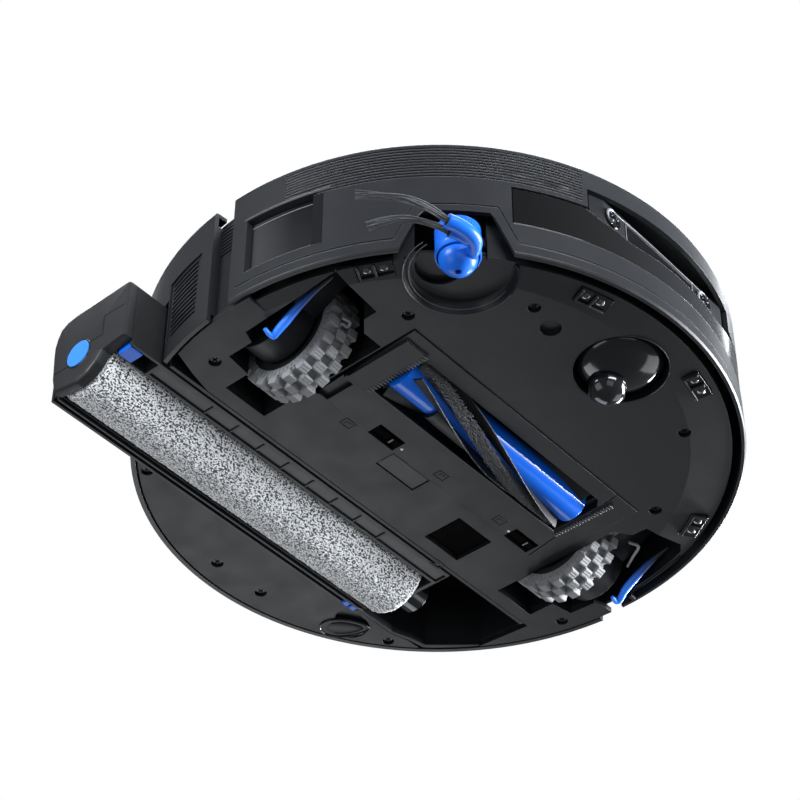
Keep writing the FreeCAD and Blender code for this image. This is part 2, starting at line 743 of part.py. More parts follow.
def main_brush():
    axis = (D.brush_front, D.brush_height)
    core = shaft("core_rod", D.core_radius, axis, D.brush_right + 1.6, D.brush_left + 4)
    ends = shaft("core_ends", 2.4, axis, D.brush_right - 10, D.brush_left + 10)
    finish(fuse("core_solid", core, ends), "brush_core")
    fins = shaft("fin_envelope", D.brush_radius, axis, D.brush_right + 6, D.brush_left)
    bore = shaft("fin_bore", D.core_radius, axis, D.brush_right - 1, D.brush_left + 1)
    finish(cut("fin_sleeve", fins, bore), "brush_fins")

    low = BASE_TOP + 0.1
    block = box("tunnel_block", (D.cover_right + 1, D.cover_front + 1, low),
                (D.cover_left - 1, D.cover_rear - 1, 44))
    tunnel = shaft("tunnel_bore", D.brush_radius + 2.2, axis, D.brush_right - 6, D.brush_left + 6)
    mouth = box("tunnel_mouth", (D.brush_right - 6, D.brush_front - 20, 0),
                (D.brush_left + 6, D.brush_front + 20, D.brush_height))
    journal = shaft("tunnel_journal", 2.45, axis, D.brush_right - 11, D.brush_left + 11)
    duct = box("tunnel_duct", (-40, D.brush_front - 10, 30), (30, D.brush_front + 10, 50))
    hollow = box("tunnel_hollow", (-90, -12, 0), (96, 5, 40))
    finish(cut("tunnel_cut", block, tunnel, mouth, journal, duct, hollow), "brush_housing")
    motor = shaft("brush_motor_can", 8, (-3.5, 29), 10, 60)
    finish(motor, "brush_motor")


def brush_cover():
    gap = D.seam
    low = D.cover_bottom
    high = BASE_TOP - 1.1
    plate = prism("cover_plate", [
        (D.cover_right + gap, D.cover_front + gap), (83, D.cover_front + gap),
        (94, D.cover_rear - gap), (D.cover_right + gap + 4, D.cover_rear - gap)], low, high)
    side = prism("cover_side", [
        (83.6, D.cover_front + gap), (D.cover_left - gap, D.cover_front + gap),
        (D.cover_left - gap, D.cover_rear - gap), (94.6, D.cover_rear - gap)], low, high)
    bridge = box("cover_bridge", (80, -64, low + 1), (99, 6, high))
    ridge = box("cover_ridge", (-95, -58, low - 1.6), (-78, -15, low + 1))
    mouth = prism("cover_mouth", [
        (D.brush_right, -17), (D.brush_right, -50), (D.brush_right + 5, -54.6),
        (D.brush_left + 5, -54.6), (D.brush_left + 10, -50), (D.brush_left + 10, -17)], 0, 30)
    slot_right = box("latch_window_right", (-52, -2, 0), (-31, 8.05, 30))
    slot_left = box("latch_window_left", (70, -2, 0), (91, 8.05, 30))
    gap_end = box("cover_gap", (-95, -12, 0), (-87, 7, low + 2.2))
    solid = fuse("cover_solid", plate, side, bridge, ridge)
    finish(cut("cover_cut_out", solid, mouth, slot_right, slot_left, gap_end), "brush_cover")
    for side_name, left in (("right", -51.5), ("left", 70.5)):
        tab = box(side_name + "_latch", (left, 0.5, low + 0.2), (left + 20, 5, low + 2.4))
        thumb = box(side_name + "_thumb", (left + 12, 0.5, low - 0.6), (left + 14.4, 5, low + 0.4))
        finish(fuse(side_name + "_latch_solid", tab, thumb), "cover_latch_" + side_name)


# --- side brush -------------------------------------------------------------------

def side_brush():
    centre = (D.side_right, D.side_front)
    pivot = (D.swing_right, D.side_front)
    tube = ring("barrel_tube", D.barrel_radius, D.hub_radius + 0.5, D.barrel_bottom, 25.6, centre)
    body = post("barrel_body", D.barrel_radius, centre, 25.5, D.barrel_top)
    bore = post("barrel_bore", 2.55, centre, 0, D.barrel_top - 1.5)
    arm = box("swing_bar", (D.side_right, D.side_front - 7, D.barrel_top - 6),
              (D.swing_right, D.side_front + 7, D.barrel_top))
    boss = post("swing_boss", 9, pivot, D.barrel_top - 8, D.barrel_top + 6)
    pin_way = post("swing_bore", 3.05, pivot, 0, 60)
    sleeve_way = post("sleeve_way", D.barrel_radius, centre, 0, D.barrel_top)
    flange = common("swing_flange", post("flange_disc", 30, centre, 23, 24.6),
                    post("flange_limit", D.front_wall - 0.3, (0, 0), 0, 60))
    stalk = post("swing_stalk", 12, pivot, 24.2, D.barrel_top - 5)
    solid = cut("swing_body", fuse("swing_solid", arm, boss, flange, stalk), sleeve_way)
    finish(cut("swing_cut", solid, pin_way), "side_brush_arm")
    finish(cut("sleeve_cut", fuse("sleeve_solid", tube, body), bore), "side_brush_sleeve")

    dome = doc.addObject("Part::Sphere", "hub_dome")
    bind(dome, "Radius", D.hub_radius)
    place(dome, (centre[0], centre[1], D.hub_bottom + D.hub_radius))
    skirt = post("hub_skirt", D.hub_radius, centre, D.hub_bottom + D.hub_radius, 20)
    spindle = post("hub_spindle", 2.5, centre, 12, D.barrel_top - 2)
    screw_hole = post("hub_screw_hole", 1.8, centre, 0, 6)
    finger = arm_tube("finger_wide", FINGER_ROUTE, 4)
    solid = fuse("hub_solid", dome, skirt, spindle, finger)
    finish(cut("hub_cut", solid, screw_hole), "side_brush_hub")
    tufts = [arm_tube("tuft_%d" % i, route, 1.8) for i, route in enumerate(TUFT_ROUTES)]
    finish(group("tuft_group", *tufts), "side_brush_bristles")
    return post("swing_pin_rod", 3, pivot, 26, 52)


# Plan positions from the side brush's axis, all at one height under the body.
FINGER_HEIGHT = 8.6
FINGER_ROUTE = [(1, -8), (-4, -17), (-14, -20.5), (-24, -18)]
TUFT_ROUTES = [
    [(-24.2, -18), (-42, -12), (-66, 7)],
    [(-20.5, -14), (-33, -8), (-50, 13)],
]


def arm_tube(name, route, radius):
    """A round bar through the route, its corners turned by spheres."""
    pieces = []
    height = FINGER_HEIGHT
    for number, (start, end) in enumerate(zip(route, route[1:])):
        run = FreeCAD.Vector(end[0] - start[0], end[1] - start[1], 0)
        rod = doc.addObject("Part::Cylinder", "%s_run_%d" % (name, number))
        bind(rod, "Radius", radius)
        rod.Height = run.Length
        rod.Placement.Rotation = FreeCAD.Rotation(FreeCAD.Vector(0, 0, 1), run)
        place(rod, (D.side_right + start[0], D.side_front + start[1], height))
        pieces.append(rod)
    for number, corner in enumerate(route[1:-1]):
        ball = doc.addObject("Part::Sphere", "%s_ball_%d" % (name, number))
        bind(ball, "Radius", radius)
        place(ball, (D.side_right + corner[0], D.side_front + corner[1], height))
        pieces.append(ball)
    return fuse(name, *pieces)


# --- caster ------------------------------------------------------------------------

def caster():
    centre = (0, D.caster_front)
    cup = lathe("socket_cup", [
        (D.socket_radius - 0.6, D.base_bottom), (D.socket_radius - 0.1, D.base_bottom),
        (D.socket_radius - 0.1, BASE_TOP + 0.1), (D.socket_radius + 1.6, BASE_TOP + 0.1),
        (D.socket_radius + 1.6, 46), (3.05, 46), (3.05, 42), (D.socket_radius - 0.6, 42)], centre)
    finish(cup, "caster_socket")

    angle = math.radians(DIMENSIONS["caster_turn"])
    trail_x = D.caster_trail * math.cos(angle)
    trail_y = D.caster_trail * math.sin(angle)
    wheel_centre = (trail_x, D.caster_front + trail_y, D.caster_radius)
    along = turn((0, 0, 1), DIMENSIONS["caster_turn"]).multiply(turn((1, 0, 0), -90))

    def cross_rod(name, radius, width, height_of_centre):
        offset = along.multVec(FreeCAD.Vector(0, 0, -1))
        half = size(width) / 2
        where = (wheel_centre[0] + half * offset.x, wheel_centre[1] + half * offset.y, height_of_centre)
        return primitive("Cylinder", name, {"Radius": radius, "Height": width}, where, along)

    hood_profile = [(0, 9.5), (8, 10.1), (14.5, 12.4), (20, 16.8), (24, 24), (25.4, 38), (0, 38)]
    hood = lathe("fork_hood", hood_profile, centre)
    space = cross_rod("fork_space", D.caster_radius + 1, D.caster_width + 1.2, D.caster_radius)
    throat = primitive("Box", "fork_throat", {
        "Length": 2 * D.caster_radius + 2, "Width": D.caster_width + 1.2, "Height": D.caster_radius},
        rotation=turn((0, 0, 1), DIMENSIONS["caster_turn"]))
    back = turn((0, 0, 1), DIMENSIONS["caster_turn"]).multVec(FreeCAD.Vector(-1, 0, 0))
    side = turn((0, 0, 1), DIMENSIONS["caster_turn"]).multVec(FreeCAD.Vector(0, -1, 0))
    long_half = D.caster_radius + 1
    wide_half = (D.caster_width + 1.2) / 2
    place(throat, (wheel_centre[0] + long_half * back.x + wide_half * side.x,
                   wheel_centre[1] + long_half * back.y + wide_half * side.y, 0))
    axle_hole = cross_rod("fork_axle_hole", 2.05, D.caster_width + 8, D.caster_radius)
    stem = post("fork_stem", 3, centre, 37, 50)
    lugs = cross_rod("fork_lugs", 5.5, D.caster_width + 6, D.caster_radius)
    neck = cross_rod("fork_neck", 5.5, D.caster_width + 6, D.caster_radius + 5)
    solid = fuse("fork_solid", hood, stem, lugs, neck)
    finish(cut("fork_cut", solid, space, throat, axle_hole), "caster_fork")
    tyre = cross_rod("caster_tread", D.caster_radius, D.caster_width, D.caster_radius)
    axle = cross_rod("caster_pin", 2, D.caster_width + 6, D.caster_radius)
    finish(fuse("caster_solid", tyre, axle), "caster_wheel")


# --- roller mop ----------------------------------------------------------------------

def mop_bay():
    outer = prism("bay_outer", [
        (-162, D.bay_front + 0.4), (151, D.bay_front + 0.4), (149, 91), (126, 117.5),
        (113, 119.5), (100, D.bay_rear), (-162, D.bay_rear)], D.base_bottom, D.bay_top)
    limit = post("bay_limit", D.base_radius - 0.6, (0, 0), 0, 100)
    inner = prism("bay_inner", [
        (-WAY_PAST, D.bay_front + 2.6), (149, D.bay_front + 2.6), (146.5, 88), (124, 115),
        (112, 117.5), (100, D.bay_rear - 1.8), (-WAY_PAST, D.bay_rear - 1.8)],
        0, D.bay_top - D.plate_wall)
    side_room = box("bay_side_room", (146, 0, 0), (WAY_PAST, 91.3, BASE_TOP + 0.1))
    solid = common("bay_solid", outer, limit)
    finish(cut("bay_cut", solid, inner, side_room), "mop_bay_frame")


RIBS = 8
RIB_PITCH = 20.9
CAP_DRUM = 21.4
CAP_SEAMS = [((57, 41), (76.4, 41.5)), ((76, 27.5), (76.4, 41)), ((76, 27.5), (87, 27.9)),
             ((103, 19.2), (115, 19.6))]


def mop_module():
    axis = (D.roller_rear, D.roller_height)
    right = D.cap_face + D.cap_thick + 0.1
    section = [(D.module_front, D.module_bottom), (D.module_front, D.module_top),
               (D.module_rear, D.module_top), (D.module_rear, 8), (D.module_rear - 1.7, 8),
               (D.module_rear - 1.7, D.module_bottom)]
    block = bar("module_block", section, right, 80)
    room = D.roller_radius + 0.6
    tube = shaft("module_tube", room, axis, -WAY_PAST, 77.5)
    under = box("module_under", (-WAY_PAST, D.roller_rear - room, 0),
                (77.5, D.module_rear - 1.7, D.roller_height))
    rear_end = box("module_rear_end", (66, D.roller_rear, 0), (90, 130, 100))
    end_low = box("module_end_low", (76, 70.4, 0), (90, 130, 14))
    trough = box("module_trough", (-165, 60.3, 0), (79, 68.6, D.module_bottom + 3.5))
    latch_room = box("module_latch_room", (-190, 59.6, 0), (-167, 69.9, D.module_bottom + 10))
    bore = shaft("module_bore", 4.05, axis, 70, 95)
    tools = [tube, under, rear_end, trough, latch_room, bore, end_low]
    ribs = [box("rib_%d" % i, (-122.6 + RIB_PITCH * i, 60.2, D.module_bottom + 0.4),
                (-121.4 + RIB_PITCH * i, 68.7, D.module_bottom + 3.6)) for i in range(RIBS)]
    finish(fuse("module_solid", cut("module_cut", block, *tools), *ribs), "mop_housing")

    cap_section = [(D.module_front, D.module_bottom + 1), (D.module_front, D.module_top),
                   (D.module_rear, D.module_top), (D.module_rear, 7.6), (113, 7.6),
                   (D.roller_rear, D.module_bottom + 1)]
    cap_block = bar("cap_block", cap_section, D.cap_face, D.cap_face + D.cap_thick)
    rounded = fillet("cap_rounded", cap_block, 17, lambda edge: (
        edge.BoundBox.XLength > 3 and edge.BoundBox.YMin > 115 and edge.BoundBox.ZMin > 40))
    drum = shaft("cap_drum", CAP_DRUM, axis, D.cap_face, D.cap_face + D.cap_thick)
    soft_drum = fillet("cap_drum_rounded", drum, 2.6, lambda edge: (
        abs(edge.BoundBox.XMax - DIMENSIONS["cap_face"]) < 0.05 and edge.BoundBox.YLength > 20))
    seat = shaft("cap_seat", D.mop_button_radius + 0.3, axis, D.cap_face - 5, D.cap_face + 5.6)
    seams = [box("cap_seam_%d" % i, (D.cap_face - 1, low[0], low[1]), (D.cap_face + 0.5, high[0], high[1]))
             for i, (low, high) in enumerate(CAP_SEAMS)]
    finish(cut("cap_cut", fuse("cap_solid", rounded, soft_drum), seat, *seams), "mop_end_cap")
    finish(shaft("mop_button_disc", D.mop_button_radius, axis, D.cap_face - 0.5, D.cap_face + 3.2),
           "mop_button")
    finish(box("roller_latch_box", (-187.6, 60, D.module_bottom - 0.6),
               (-178.5, 69.4, D.module_bottom + 8)), "roller_latch")

    core = shaft("roller_core_rod", D.sleeve_bore, axis, D.roller_right + 0.4, D.roller_left + 1.2)
    hollow = shaft("roller_core_bore", 12, axis, D.roller_right - 5, -125)
    journal = shaft("roller_journal", 4, axis, D.roller_left, 84)
    finish(cut("roller_core_cut", fuse("roller_core_solid", core, journal), hollow), "roller_core")
    sleeve = shaft("sleeve_rod", D.roller_radius, axis, D.roller_right, D.roller_left)
    sleeve_bore = shaft("sleeve_hole", D.sleeve_bore, axis, D.roller_right - 1, D.roller_left + 1)
    finish(cut("sleeve_cut", sleeve, sleeve_bore), "roller_sleeve")
    cup = shaft("coupling_rod", 12, axis, 80.4, 91)
    cup_bore = shaft("coupling_bore", 4, axis, 70, 84)
    finish(cut("coupling_cut", cup, cup_bore), "roller_coupling")
    finish(shaft("mop_motor_can", 10, axis, D.cap_face + D.cap_thick, -130), "mop_motor")


# --- inner pieces -----------------------------------------------------------------------

def hollow_box(name, low, high, wall, limit=None):
    """A sealed vessel: a box with an even wall, trimmed to a radius where one is given."""
    inside_low = [size(a) + wall for a in low]
    inside_high = [size(b) - wall for b in high]
    outer = box(name + "_outer", low, high)
    inner = box(name + "_inner", inside_low, inside_high)
    if limit:
        outer = common(name + "_trim", outer, post(name + "_edge", limit, (0, 0), 0, 100))
        inner = common(name + "_trim_in", inner, post(name + "_edge_in", limit - wall, (0, 0), 0, 100))
    return cut(name, outer, inner)


def inner_pieces():
    deck = D.deck_bottom + D.deck_thick + 0.3
    finish(box("battery_box", (-60, -100, 20), (60, -69, 61)), "battery_pack")
    board = box("board_plate", (-70, -142, 71), (70, -76, 72.6))
    chips = [box("chip_%d" % i, (-50 + 34 * i, -120, 72.5), (-34 + 34 * i, -104, 76)) for i in range(3)]
    finish(fuse("board_solid", board, *chips), "main_board")
    fan = post("fan_can", 28, (73, -18), 46, 86)
    inlet = post("fan_inlet", 9, (73, -18), 74, 90)
    finish(cut("fan_cut", fan, inlet), "suction_fan")
    bin_box = hollow_box("bin_shell", (-70, -60, 46), (38, 46, 90), 1.6)
    mouth = box("bin_mouth", (-36, -46, 44), (26, -26, 50))
    window = box("bin_filter_window", (36, -40, 56), (40, 0, 82))
    finish(cut("bin_cut", bin_box, mouth, window), "dustbin")
    finish(box("filter_box", (30, -39, 57), (36.3, -1, 81)), "dust_filter")
    tank_top = D.body_height - 6.8
    clean = hollow_box("clean_tank", (-138, 58, deck), (-4, 156, tank_top), 1.6, D.frame_radius - 2)
    finish(clean, "clean_water_tank")
    waste = hollow_box("waste_tank", (4, 58, deck), (138, 156, tank_top), 1.6, D.frame_radius - 2)
    finish(waste, "waste_water_tank")
    finish(box("pump_box", (-26, 128, 20), (26, 152, 46)), "water_pump")


wheel_housing("right", RIGHT_WELL)
wheel_housing("left", LEFT_WELL)
base_plate()
side_brush_dish()
small_fittings()
rear_bottom_cover()
rear_shell()
top_cover()
mid_frame()
bumper()
front_sensors()
pins = [
    wheel_unit("right", -1, D.wheel_right, 18),
    wheel_unit("left", 1, D.wheel_left, 21.5),
    side_brush(),
]
finish(group("pin_group", *pins), "pivot_pins")
main_brush()
brush_cover()
caster()
mop_bay()
mop_module()
inner_pieces()
doc.recompute()

broken = [o.Name for o in doc.Objects if {"Invalid", "Error"} & set(o.State)]
if broken:
    raise RuntimeError("failed objects: " + ", ".join(broken))
os.makedirs("parts", exist_ok=True)
for subpart in subparts:
    shape = subpart.Shape
    if shape.isNull() or not shape.isValid() or not shape.Solids:
        raise RuntimeError("bad shape: " + subpart.Label)
    shape.exportStep("parts/%s.step" % subpart.Label)
print("wrote %d sub-parts" % len(subparts))
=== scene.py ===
"""Looks of a robot vacuum cleaner with a roller mop, shown from below.

Metres, in the frame of the CAD model. The mesh-building part works in millimetres.
"""
import math
import random

import bmesh
import bpy
from mathutils import Matrix, Vector, noise


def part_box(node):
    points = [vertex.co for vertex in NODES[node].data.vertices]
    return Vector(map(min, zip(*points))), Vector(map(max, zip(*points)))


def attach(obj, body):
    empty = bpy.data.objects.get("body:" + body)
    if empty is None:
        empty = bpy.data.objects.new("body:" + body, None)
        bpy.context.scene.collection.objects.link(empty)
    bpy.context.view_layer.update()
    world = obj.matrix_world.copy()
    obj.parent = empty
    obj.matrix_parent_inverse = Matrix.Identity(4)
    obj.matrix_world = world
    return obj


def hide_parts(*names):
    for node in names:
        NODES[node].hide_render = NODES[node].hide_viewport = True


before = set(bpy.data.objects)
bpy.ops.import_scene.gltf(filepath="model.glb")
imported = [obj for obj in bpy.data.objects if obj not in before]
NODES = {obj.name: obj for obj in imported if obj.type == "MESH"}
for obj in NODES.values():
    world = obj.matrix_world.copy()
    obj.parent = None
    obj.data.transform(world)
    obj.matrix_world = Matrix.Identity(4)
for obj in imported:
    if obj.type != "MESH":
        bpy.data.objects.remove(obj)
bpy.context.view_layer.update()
MM = 0.001


# -------- camera, floor and light

CAMERA_PLACE = Vector((-0.78385, -0.65418, -0.85625))
CAMERA_AZIMUTH = math.radians(-138.907)
CAMERA_ELEVATION = math.radians(-42.174)
CAMERA_ROLL = math.radians(0.497)
CAMERA_LENS = 104.93
CAMERA_SENSOR = 36.0
LIGHT_COLOUR = (0.93, 0.965, 1.0)
LIGHT_AIM = (0, 0, 0.05)
FLOOR_REACH = 6.0


def linked(name, data):
    """A new object with this data, in the scene."""
    made = bpy.data.objects.new(name, data)
    bpy.context.scene.collection.objects.link(made)
    return made


def make_camera():
    """The camera that the photo was fitted with: its back points along azimuth and elevation."""
    data = bpy.data.cameras.new("camera")
    data.lens = CAMERA_LENS
    data.sensor_width = CAMERA_SENSOR
    level = math.cos(CAMERA_ELEVATION)
    back = Vector((level * math.cos(CAMERA_AZIMUTH), level * math.sin(CAMERA_AZIMUTH),
                   math.sin(CAMERA_ELEVATION)))
    right = Vector((0, 0, 1)).cross(back).normalized()
    up = back.cross(right)
    rolled_right = math.cos(CAMERA_ROLL) * right + math.sin(CAMERA_ROLL) * up
    rolled_up = math.cos(CAMERA_ROLL) * up - math.sin(CAMERA_ROLL) * right
    turned = Matrix((rolled_right, rolled_up, back)).transposed().to_4x4()
    camera = linked("camera", data)
    camera.matrix_world = Matrix.Translation(CAMERA_PLACE) @ turned
    bpy.context.scene.camera = camera


def make_world():
    """White to the camera, and a soft grey to everything that it lights."""
    bpy.context.scene.view_settings.view_transform = "Standard"
    world = bpy.data.worlds.new("studio")
    bpy.context.scene.world = world
    world.use_nodes = True
    nodes = world.node_tree.nodes
    links = world.node_tree.links
    nodes.clear()
    seen = nodes.new("ShaderNodeBackground")
    seen.inputs["Color"].default_value = (1, 1, 1, 1)
    lit = nodes.new("ShaderNodeBackground")
    lit.inputs["Color"].default_value = (0.93, 0.96, 1.0, 1)
    lit.inputs["Strength"].default_value = 0.21
    path = nodes.new("ShaderNodeLightPath")
    mix = nodes.new("ShaderNodeMixShader")
    out = nodes.new("ShaderNodeOutputWorld")
    links.new(path.outputs["Is Camera Ray"], mix.inputs["Fac"])
    links.new(lit.outputs[0], mix.inputs[1])
    links.new(seen.outputs[0], mix.inputs[2])
    links.new(mix.outputs[0], out.inputs["Surface"])


def make_floor():
    """A pale floor that the object stands on, which can't be seen from below."""
    mesh = bpy.data.meshes.new("floor")
    corners = [(FLOOR_REACH * x, FLOOR_REACH * y, 0) for x, y in ((-1, -1), (1, -1), (1, 1), (-1, 1))]
    mesh.from_pydata(corners, [], [(0, 1, 2, 3)])
    material = bpy.data.materials.new("pale_floor")
    material.use_nodes = True
    nodes = material.node_tree.nodes
    links = material.node_tree.links
    shader = nodes["Principled BSDF"]
    shader.inputs["Base Color"].default_value = (0.78, 0.78, 0.79, 1)
    shader.inputs["Roughness"].default_value = 0.55
    clear = nodes.new("ShaderNodeBsdfTransparent")
    side = nodes.new("ShaderNodeNewGeometry")
    mix = nodes.new("ShaderNodeMixShader")
    links.new(side.outputs["Backfacing"], mix.inputs["Fac"])
    links.new(shader.outputs[0], mix.inputs[1])
    links.new(clear.outputs[0], mix.inputs[2])
    links.new(mix.outputs[0], nodes["Material Output"].inputs["Surface"])
    mesh.materials.append(material)
    floor = linked("floor", mesh)
    floor.visible_diffuse = False
    floor.visible_glossy = False
    floor.visible_transmission = False
    floor.visible_shadow = False


def softbox(name, place, width, height, power):
    """A rectangular light that faces the object and that the camera doesn't see."""
    data = bpy.data.lights.new(name, "AREA")
    data.shape = "RECTANGLE"
    data.size = width
    data.size_y = height
    data.energy = power
    data.color = LIGHT_COLOUR
    light = linked(name, data)
    light.location = place
    light.rotation_mode = "QUATERNION"
    light.rotation_quaternion = (Vector(LIGHT_AIM) - Vector(place)).to_track_quat("-Z", "Y")
    light.visible_camera = False


def make_lights():
    """Weak boxes below for the base, low ones at the sides for the rim, and one overhead for the top."""
    softbox("low_rear_box", (0.35, 0.62, -0.5), 0.7, 0.4, 2.7)
    softbox("low_front_box", (-0.55, -0.9, -0.45), 0.8, 0.5, 1.71)
    softbox("low_right_box", (-0.9, 0.2, -0.5), 0.6, 0.6, 2.34)
    softbox("low_left_box", (0.9, -0.3, -0.5), 0.6, 0.6, 2.7)
    softbox("right_box", (1.5, -1.2, 0.1), 1.1, 0.45, 200)
    softbox("front_box", (-0.7, -1.6, 0.2), 1.2, 0.35, 38)
    softbox("left_box", (-1.6, 0.2, 0.2), 0.7, 0.35, 26)
    softbox("rim_box", (1.7, 0.1, 0.12), 0.5, 0.5, 46.8)
    softbox("top_box", (0.3, 0.2, 1.6), 1.8, 1.8, 80)


# -------- materials


class Shading:
    """A node material being built: its principled shader, and short calls for the nodes that feed it."""

    def __init__(self, name):
        self.material = bpy.data.materials.new(name)
        self.material.use_nodes = True
        self.tree = self.material.node_tree
        self.shader = self.tree.nodes["Principled BSDF"]
        self.place = self.tree.nodes.new("ShaderNodeTexCoord").outputs["Object"]

    def node(self, kind, **settings):
        made = self.tree.nodes.new(kind)
        for key, value in settings.items():
            setattr(made, key, value)
        return made

    def link(self, source, target):
        self.tree.links.new(source, target)

    def set(self, **values):
        """Values that are the same all over the surface, on the shader's own sockets."""
        for key, value in values.items():
            self.shader.inputs[key.replace("_", " ")].default_value = value

    def stretched(self, scale):
        mapping = self.node("ShaderNodeMapping")
        mapping.inputs["Scale"].default_value = scale
        self.link(self.place, mapping.inputs["Vector"])
        return mapping.outputs["Vector"]

    def noise(self, scale, detail=2.0, roughness=0.5, place=None):
        made = self.node("ShaderNodeTexNoise")
        made.inputs["Scale"].default_value = scale
        made.inputs["Detail"].default_value = detail
        made.inputs["Roughness"].default_value = roughness
        self.link(place or self.place, made.inputs["Vector"])
        return made.outputs["Fac"]

    def ramp(self, source, stops):
        """Colours or greys at places along source: stops is a list of (place, colour or grey)."""
        made = self.node("ShaderNodeValToRGB")
        band = made.color_ramp
        while len(band.elements) < len(stops):
            band.elements.new(1.0)
        for element, (where, tone) in zip(band.elements, stops):
            element.position = where
            element.color = (tone, tone, tone, 1) if isinstance(tone, float) else (*tone, 1)
        self.link(source, made.inputs["Fac"])
        return made.outputs["Color"]

    def blend(self, share, first, second, way="MIX"):
        made = self.node("ShaderNodeMix", data_type="RGBA", blend_type=way)
        for key, value in (("Factor", share), ("A", first), ("B", second)):
            sockets = [s for s in made.inputs if s.name == key and s.enabled]
            if isinstance(value, bpy.types.NodeSocket):
                self.link(value, sockets[0])
            elif isinstance(value, (int, float)):
                sockets[0].default_value = value
            else:
                sockets[0].default_value = (*value, 1)
        return [s for s in made.outputs if s.name == "Result" and s.enabled][0]

    def bump(self, height, depth, strength=1.0, edge=0.0):
        """Fine relief on the surface; edge is the radius that the shading rounds sharp edges to."""
        made = self.node("ShaderNodeBump")
        made.inputs["Distance"].default_value = depth
        made.inputs["Strength"].default_value = strength
        self.link(height, made.inputs["Height"])
        if edge:
            rounding = self.node("ShaderNodeBevel", samples=4)
            rounding.inputs["Radius"].default_value = edge
            self.link(rounding.outputs["Normal"], made.inputs["Normal"])
        self.link(made.outputs["Normal"], self.shader.inputs["Normal"])


def moulded(name, colour, rough, grain=0.00002, grain_scale=3800.0, edge=0.0006, gloss=0.28, worn=0.3):
    """Moulded plastic: a fine spark-eroded grain, slow changes of tone and gloss, and soft edges."""
    s = Shading(name)
    slow = s.noise(14.0, 3.0)
    fine = s.noise(grain_scale, 2.0, 0.6)
    dark = tuple(c * (1 - worn) for c in colour)
    light = tuple(c * (1 + worn) for c in colour)
    tone = s.blend(slow, dark, light)
    s.link(s.blend(s.ramp(fine, [(0.3, 0.0), (0.7, 0.12)]), tone, light), s.shader.inputs["Base Color"])
    smear = s.noise(60.0, 4.0)
    gloss_stops = [(0.25, rough * 0.88), (0.75, min(1.0, rough * 1.12))]
    s.link(s.ramp(smear, gloss_stops), s.shader.inputs["Roughness"])
    s.set(Specular_IOR_Level=gloss)
    s.bump(fine, grain, 0.6, edge)
    return s.material


def glossy(name, colour, rough, edge=0.0004, coat=0.0, metal=0.0):
    """Polished plastic, glass or metal, with faint hand marks in its gloss."""
    s = Shading(name)
    slow = s.noise(22.0, 3.0)
    tone = s.blend(slow, tuple(c * 0.8 for c in colour), tuple(c * 1.2 for c in colour))
    s.link(tone, s.shader.inputs["Base Color"])
    marks = s.noise(90.0, 5.0, 0.65)
    gloss_stops = [(0.35, rough * 0.7), (0.7, min(1.0, rough * 1.4))]
    s.link(s.ramp(marks, gloss_stops), s.shader.inputs["Roughness"])
    s.set(Metallic=metal, Coat_Weight=coat)
    s.bump(slow, 0.00002, 0.3, edge)
    return s.material


def fleece(name, pale, dark):
    """Looped microfibre with dark flecks in the hollows between its pale loops, painted shade of the pile."""
    s = Shading(name)
    shade_flecks = s.noise(1150.0, 1.0, 0.5, s.stretched((0.62, 1.0, 1.0)))
    loops = s.noise(2600.0, 2.0, 0.6)
    pale_tone = s.blend(loops, tuple(c * 0.9 for c in pale), pale)
    share = s.ramp(shade_flecks, [(0.505, 0.0), (0.525, 1.0)])
    s.link(s.blend(share, pale_tone, dark), s.shader.inputs["Base Color"])
    s.set(Roughness=0.95, Specular_IOR_Level=0.2, Sheen_Weight=0.6, Sheen_Roughness=0.6)
    s.bump(s.blend(share, loops, (0.0, 0.0, 0.0)), 0.0006, 0.8)
    return s.material


def fading(name, axis, first, last, tones, rough):
    """Smooth plastic whose colour changes between two places along an axis, in metres; the change paints a
    reflection on the glossy panels and shade on the levers.
    """
    s = Shading(name)
    parts = s.node("ShaderNodeSeparateXYZ")
    s.link(s.place, parts.inputs[0])
    spread = s.node("ShaderNodeMapRange")
    spread.inputs["From Min"].default_value = first
    spread.inputs["From Max"].default_value = last
    s.link(parts.outputs[axis], spread.inputs["Value"])
    s.link(s.ramp(spread.outputs["Result"], tones), s.shader.inputs["Base Color"])
    s.set(Roughness=rough)
    s.bump(s.noise(30.0), 0.00001, 0.3, 0.0003)
    return s.material


# painted reflection on the band panel: near black on the robot's right, dark grey on its left
PANEL_REFLECTION_TONES = [(0.0, (0.002, 0.002, 0.002)), (1.0, (0.016, 0.017, 0.019))]
# painted reflection on the side window: near black at the front, dark grey towards the rear
WINDOW_REFLECTION_TONES = [(0.0, (0.002, 0.002, 0.003)), (0.35, (0.004, 0.004, 0.005)), (1.0, (0.034, 0.035, 0.038))]
# painted shade on the levers: blue near the floor, near black up in the wheel wells
LEVER_SHADE_TONES = [(0.0, (0.008, 0.01, 0.02)), (0.45, (0.01, 0.06, 0.3)), (1.0, (0.02, 0.2, 0.95))]

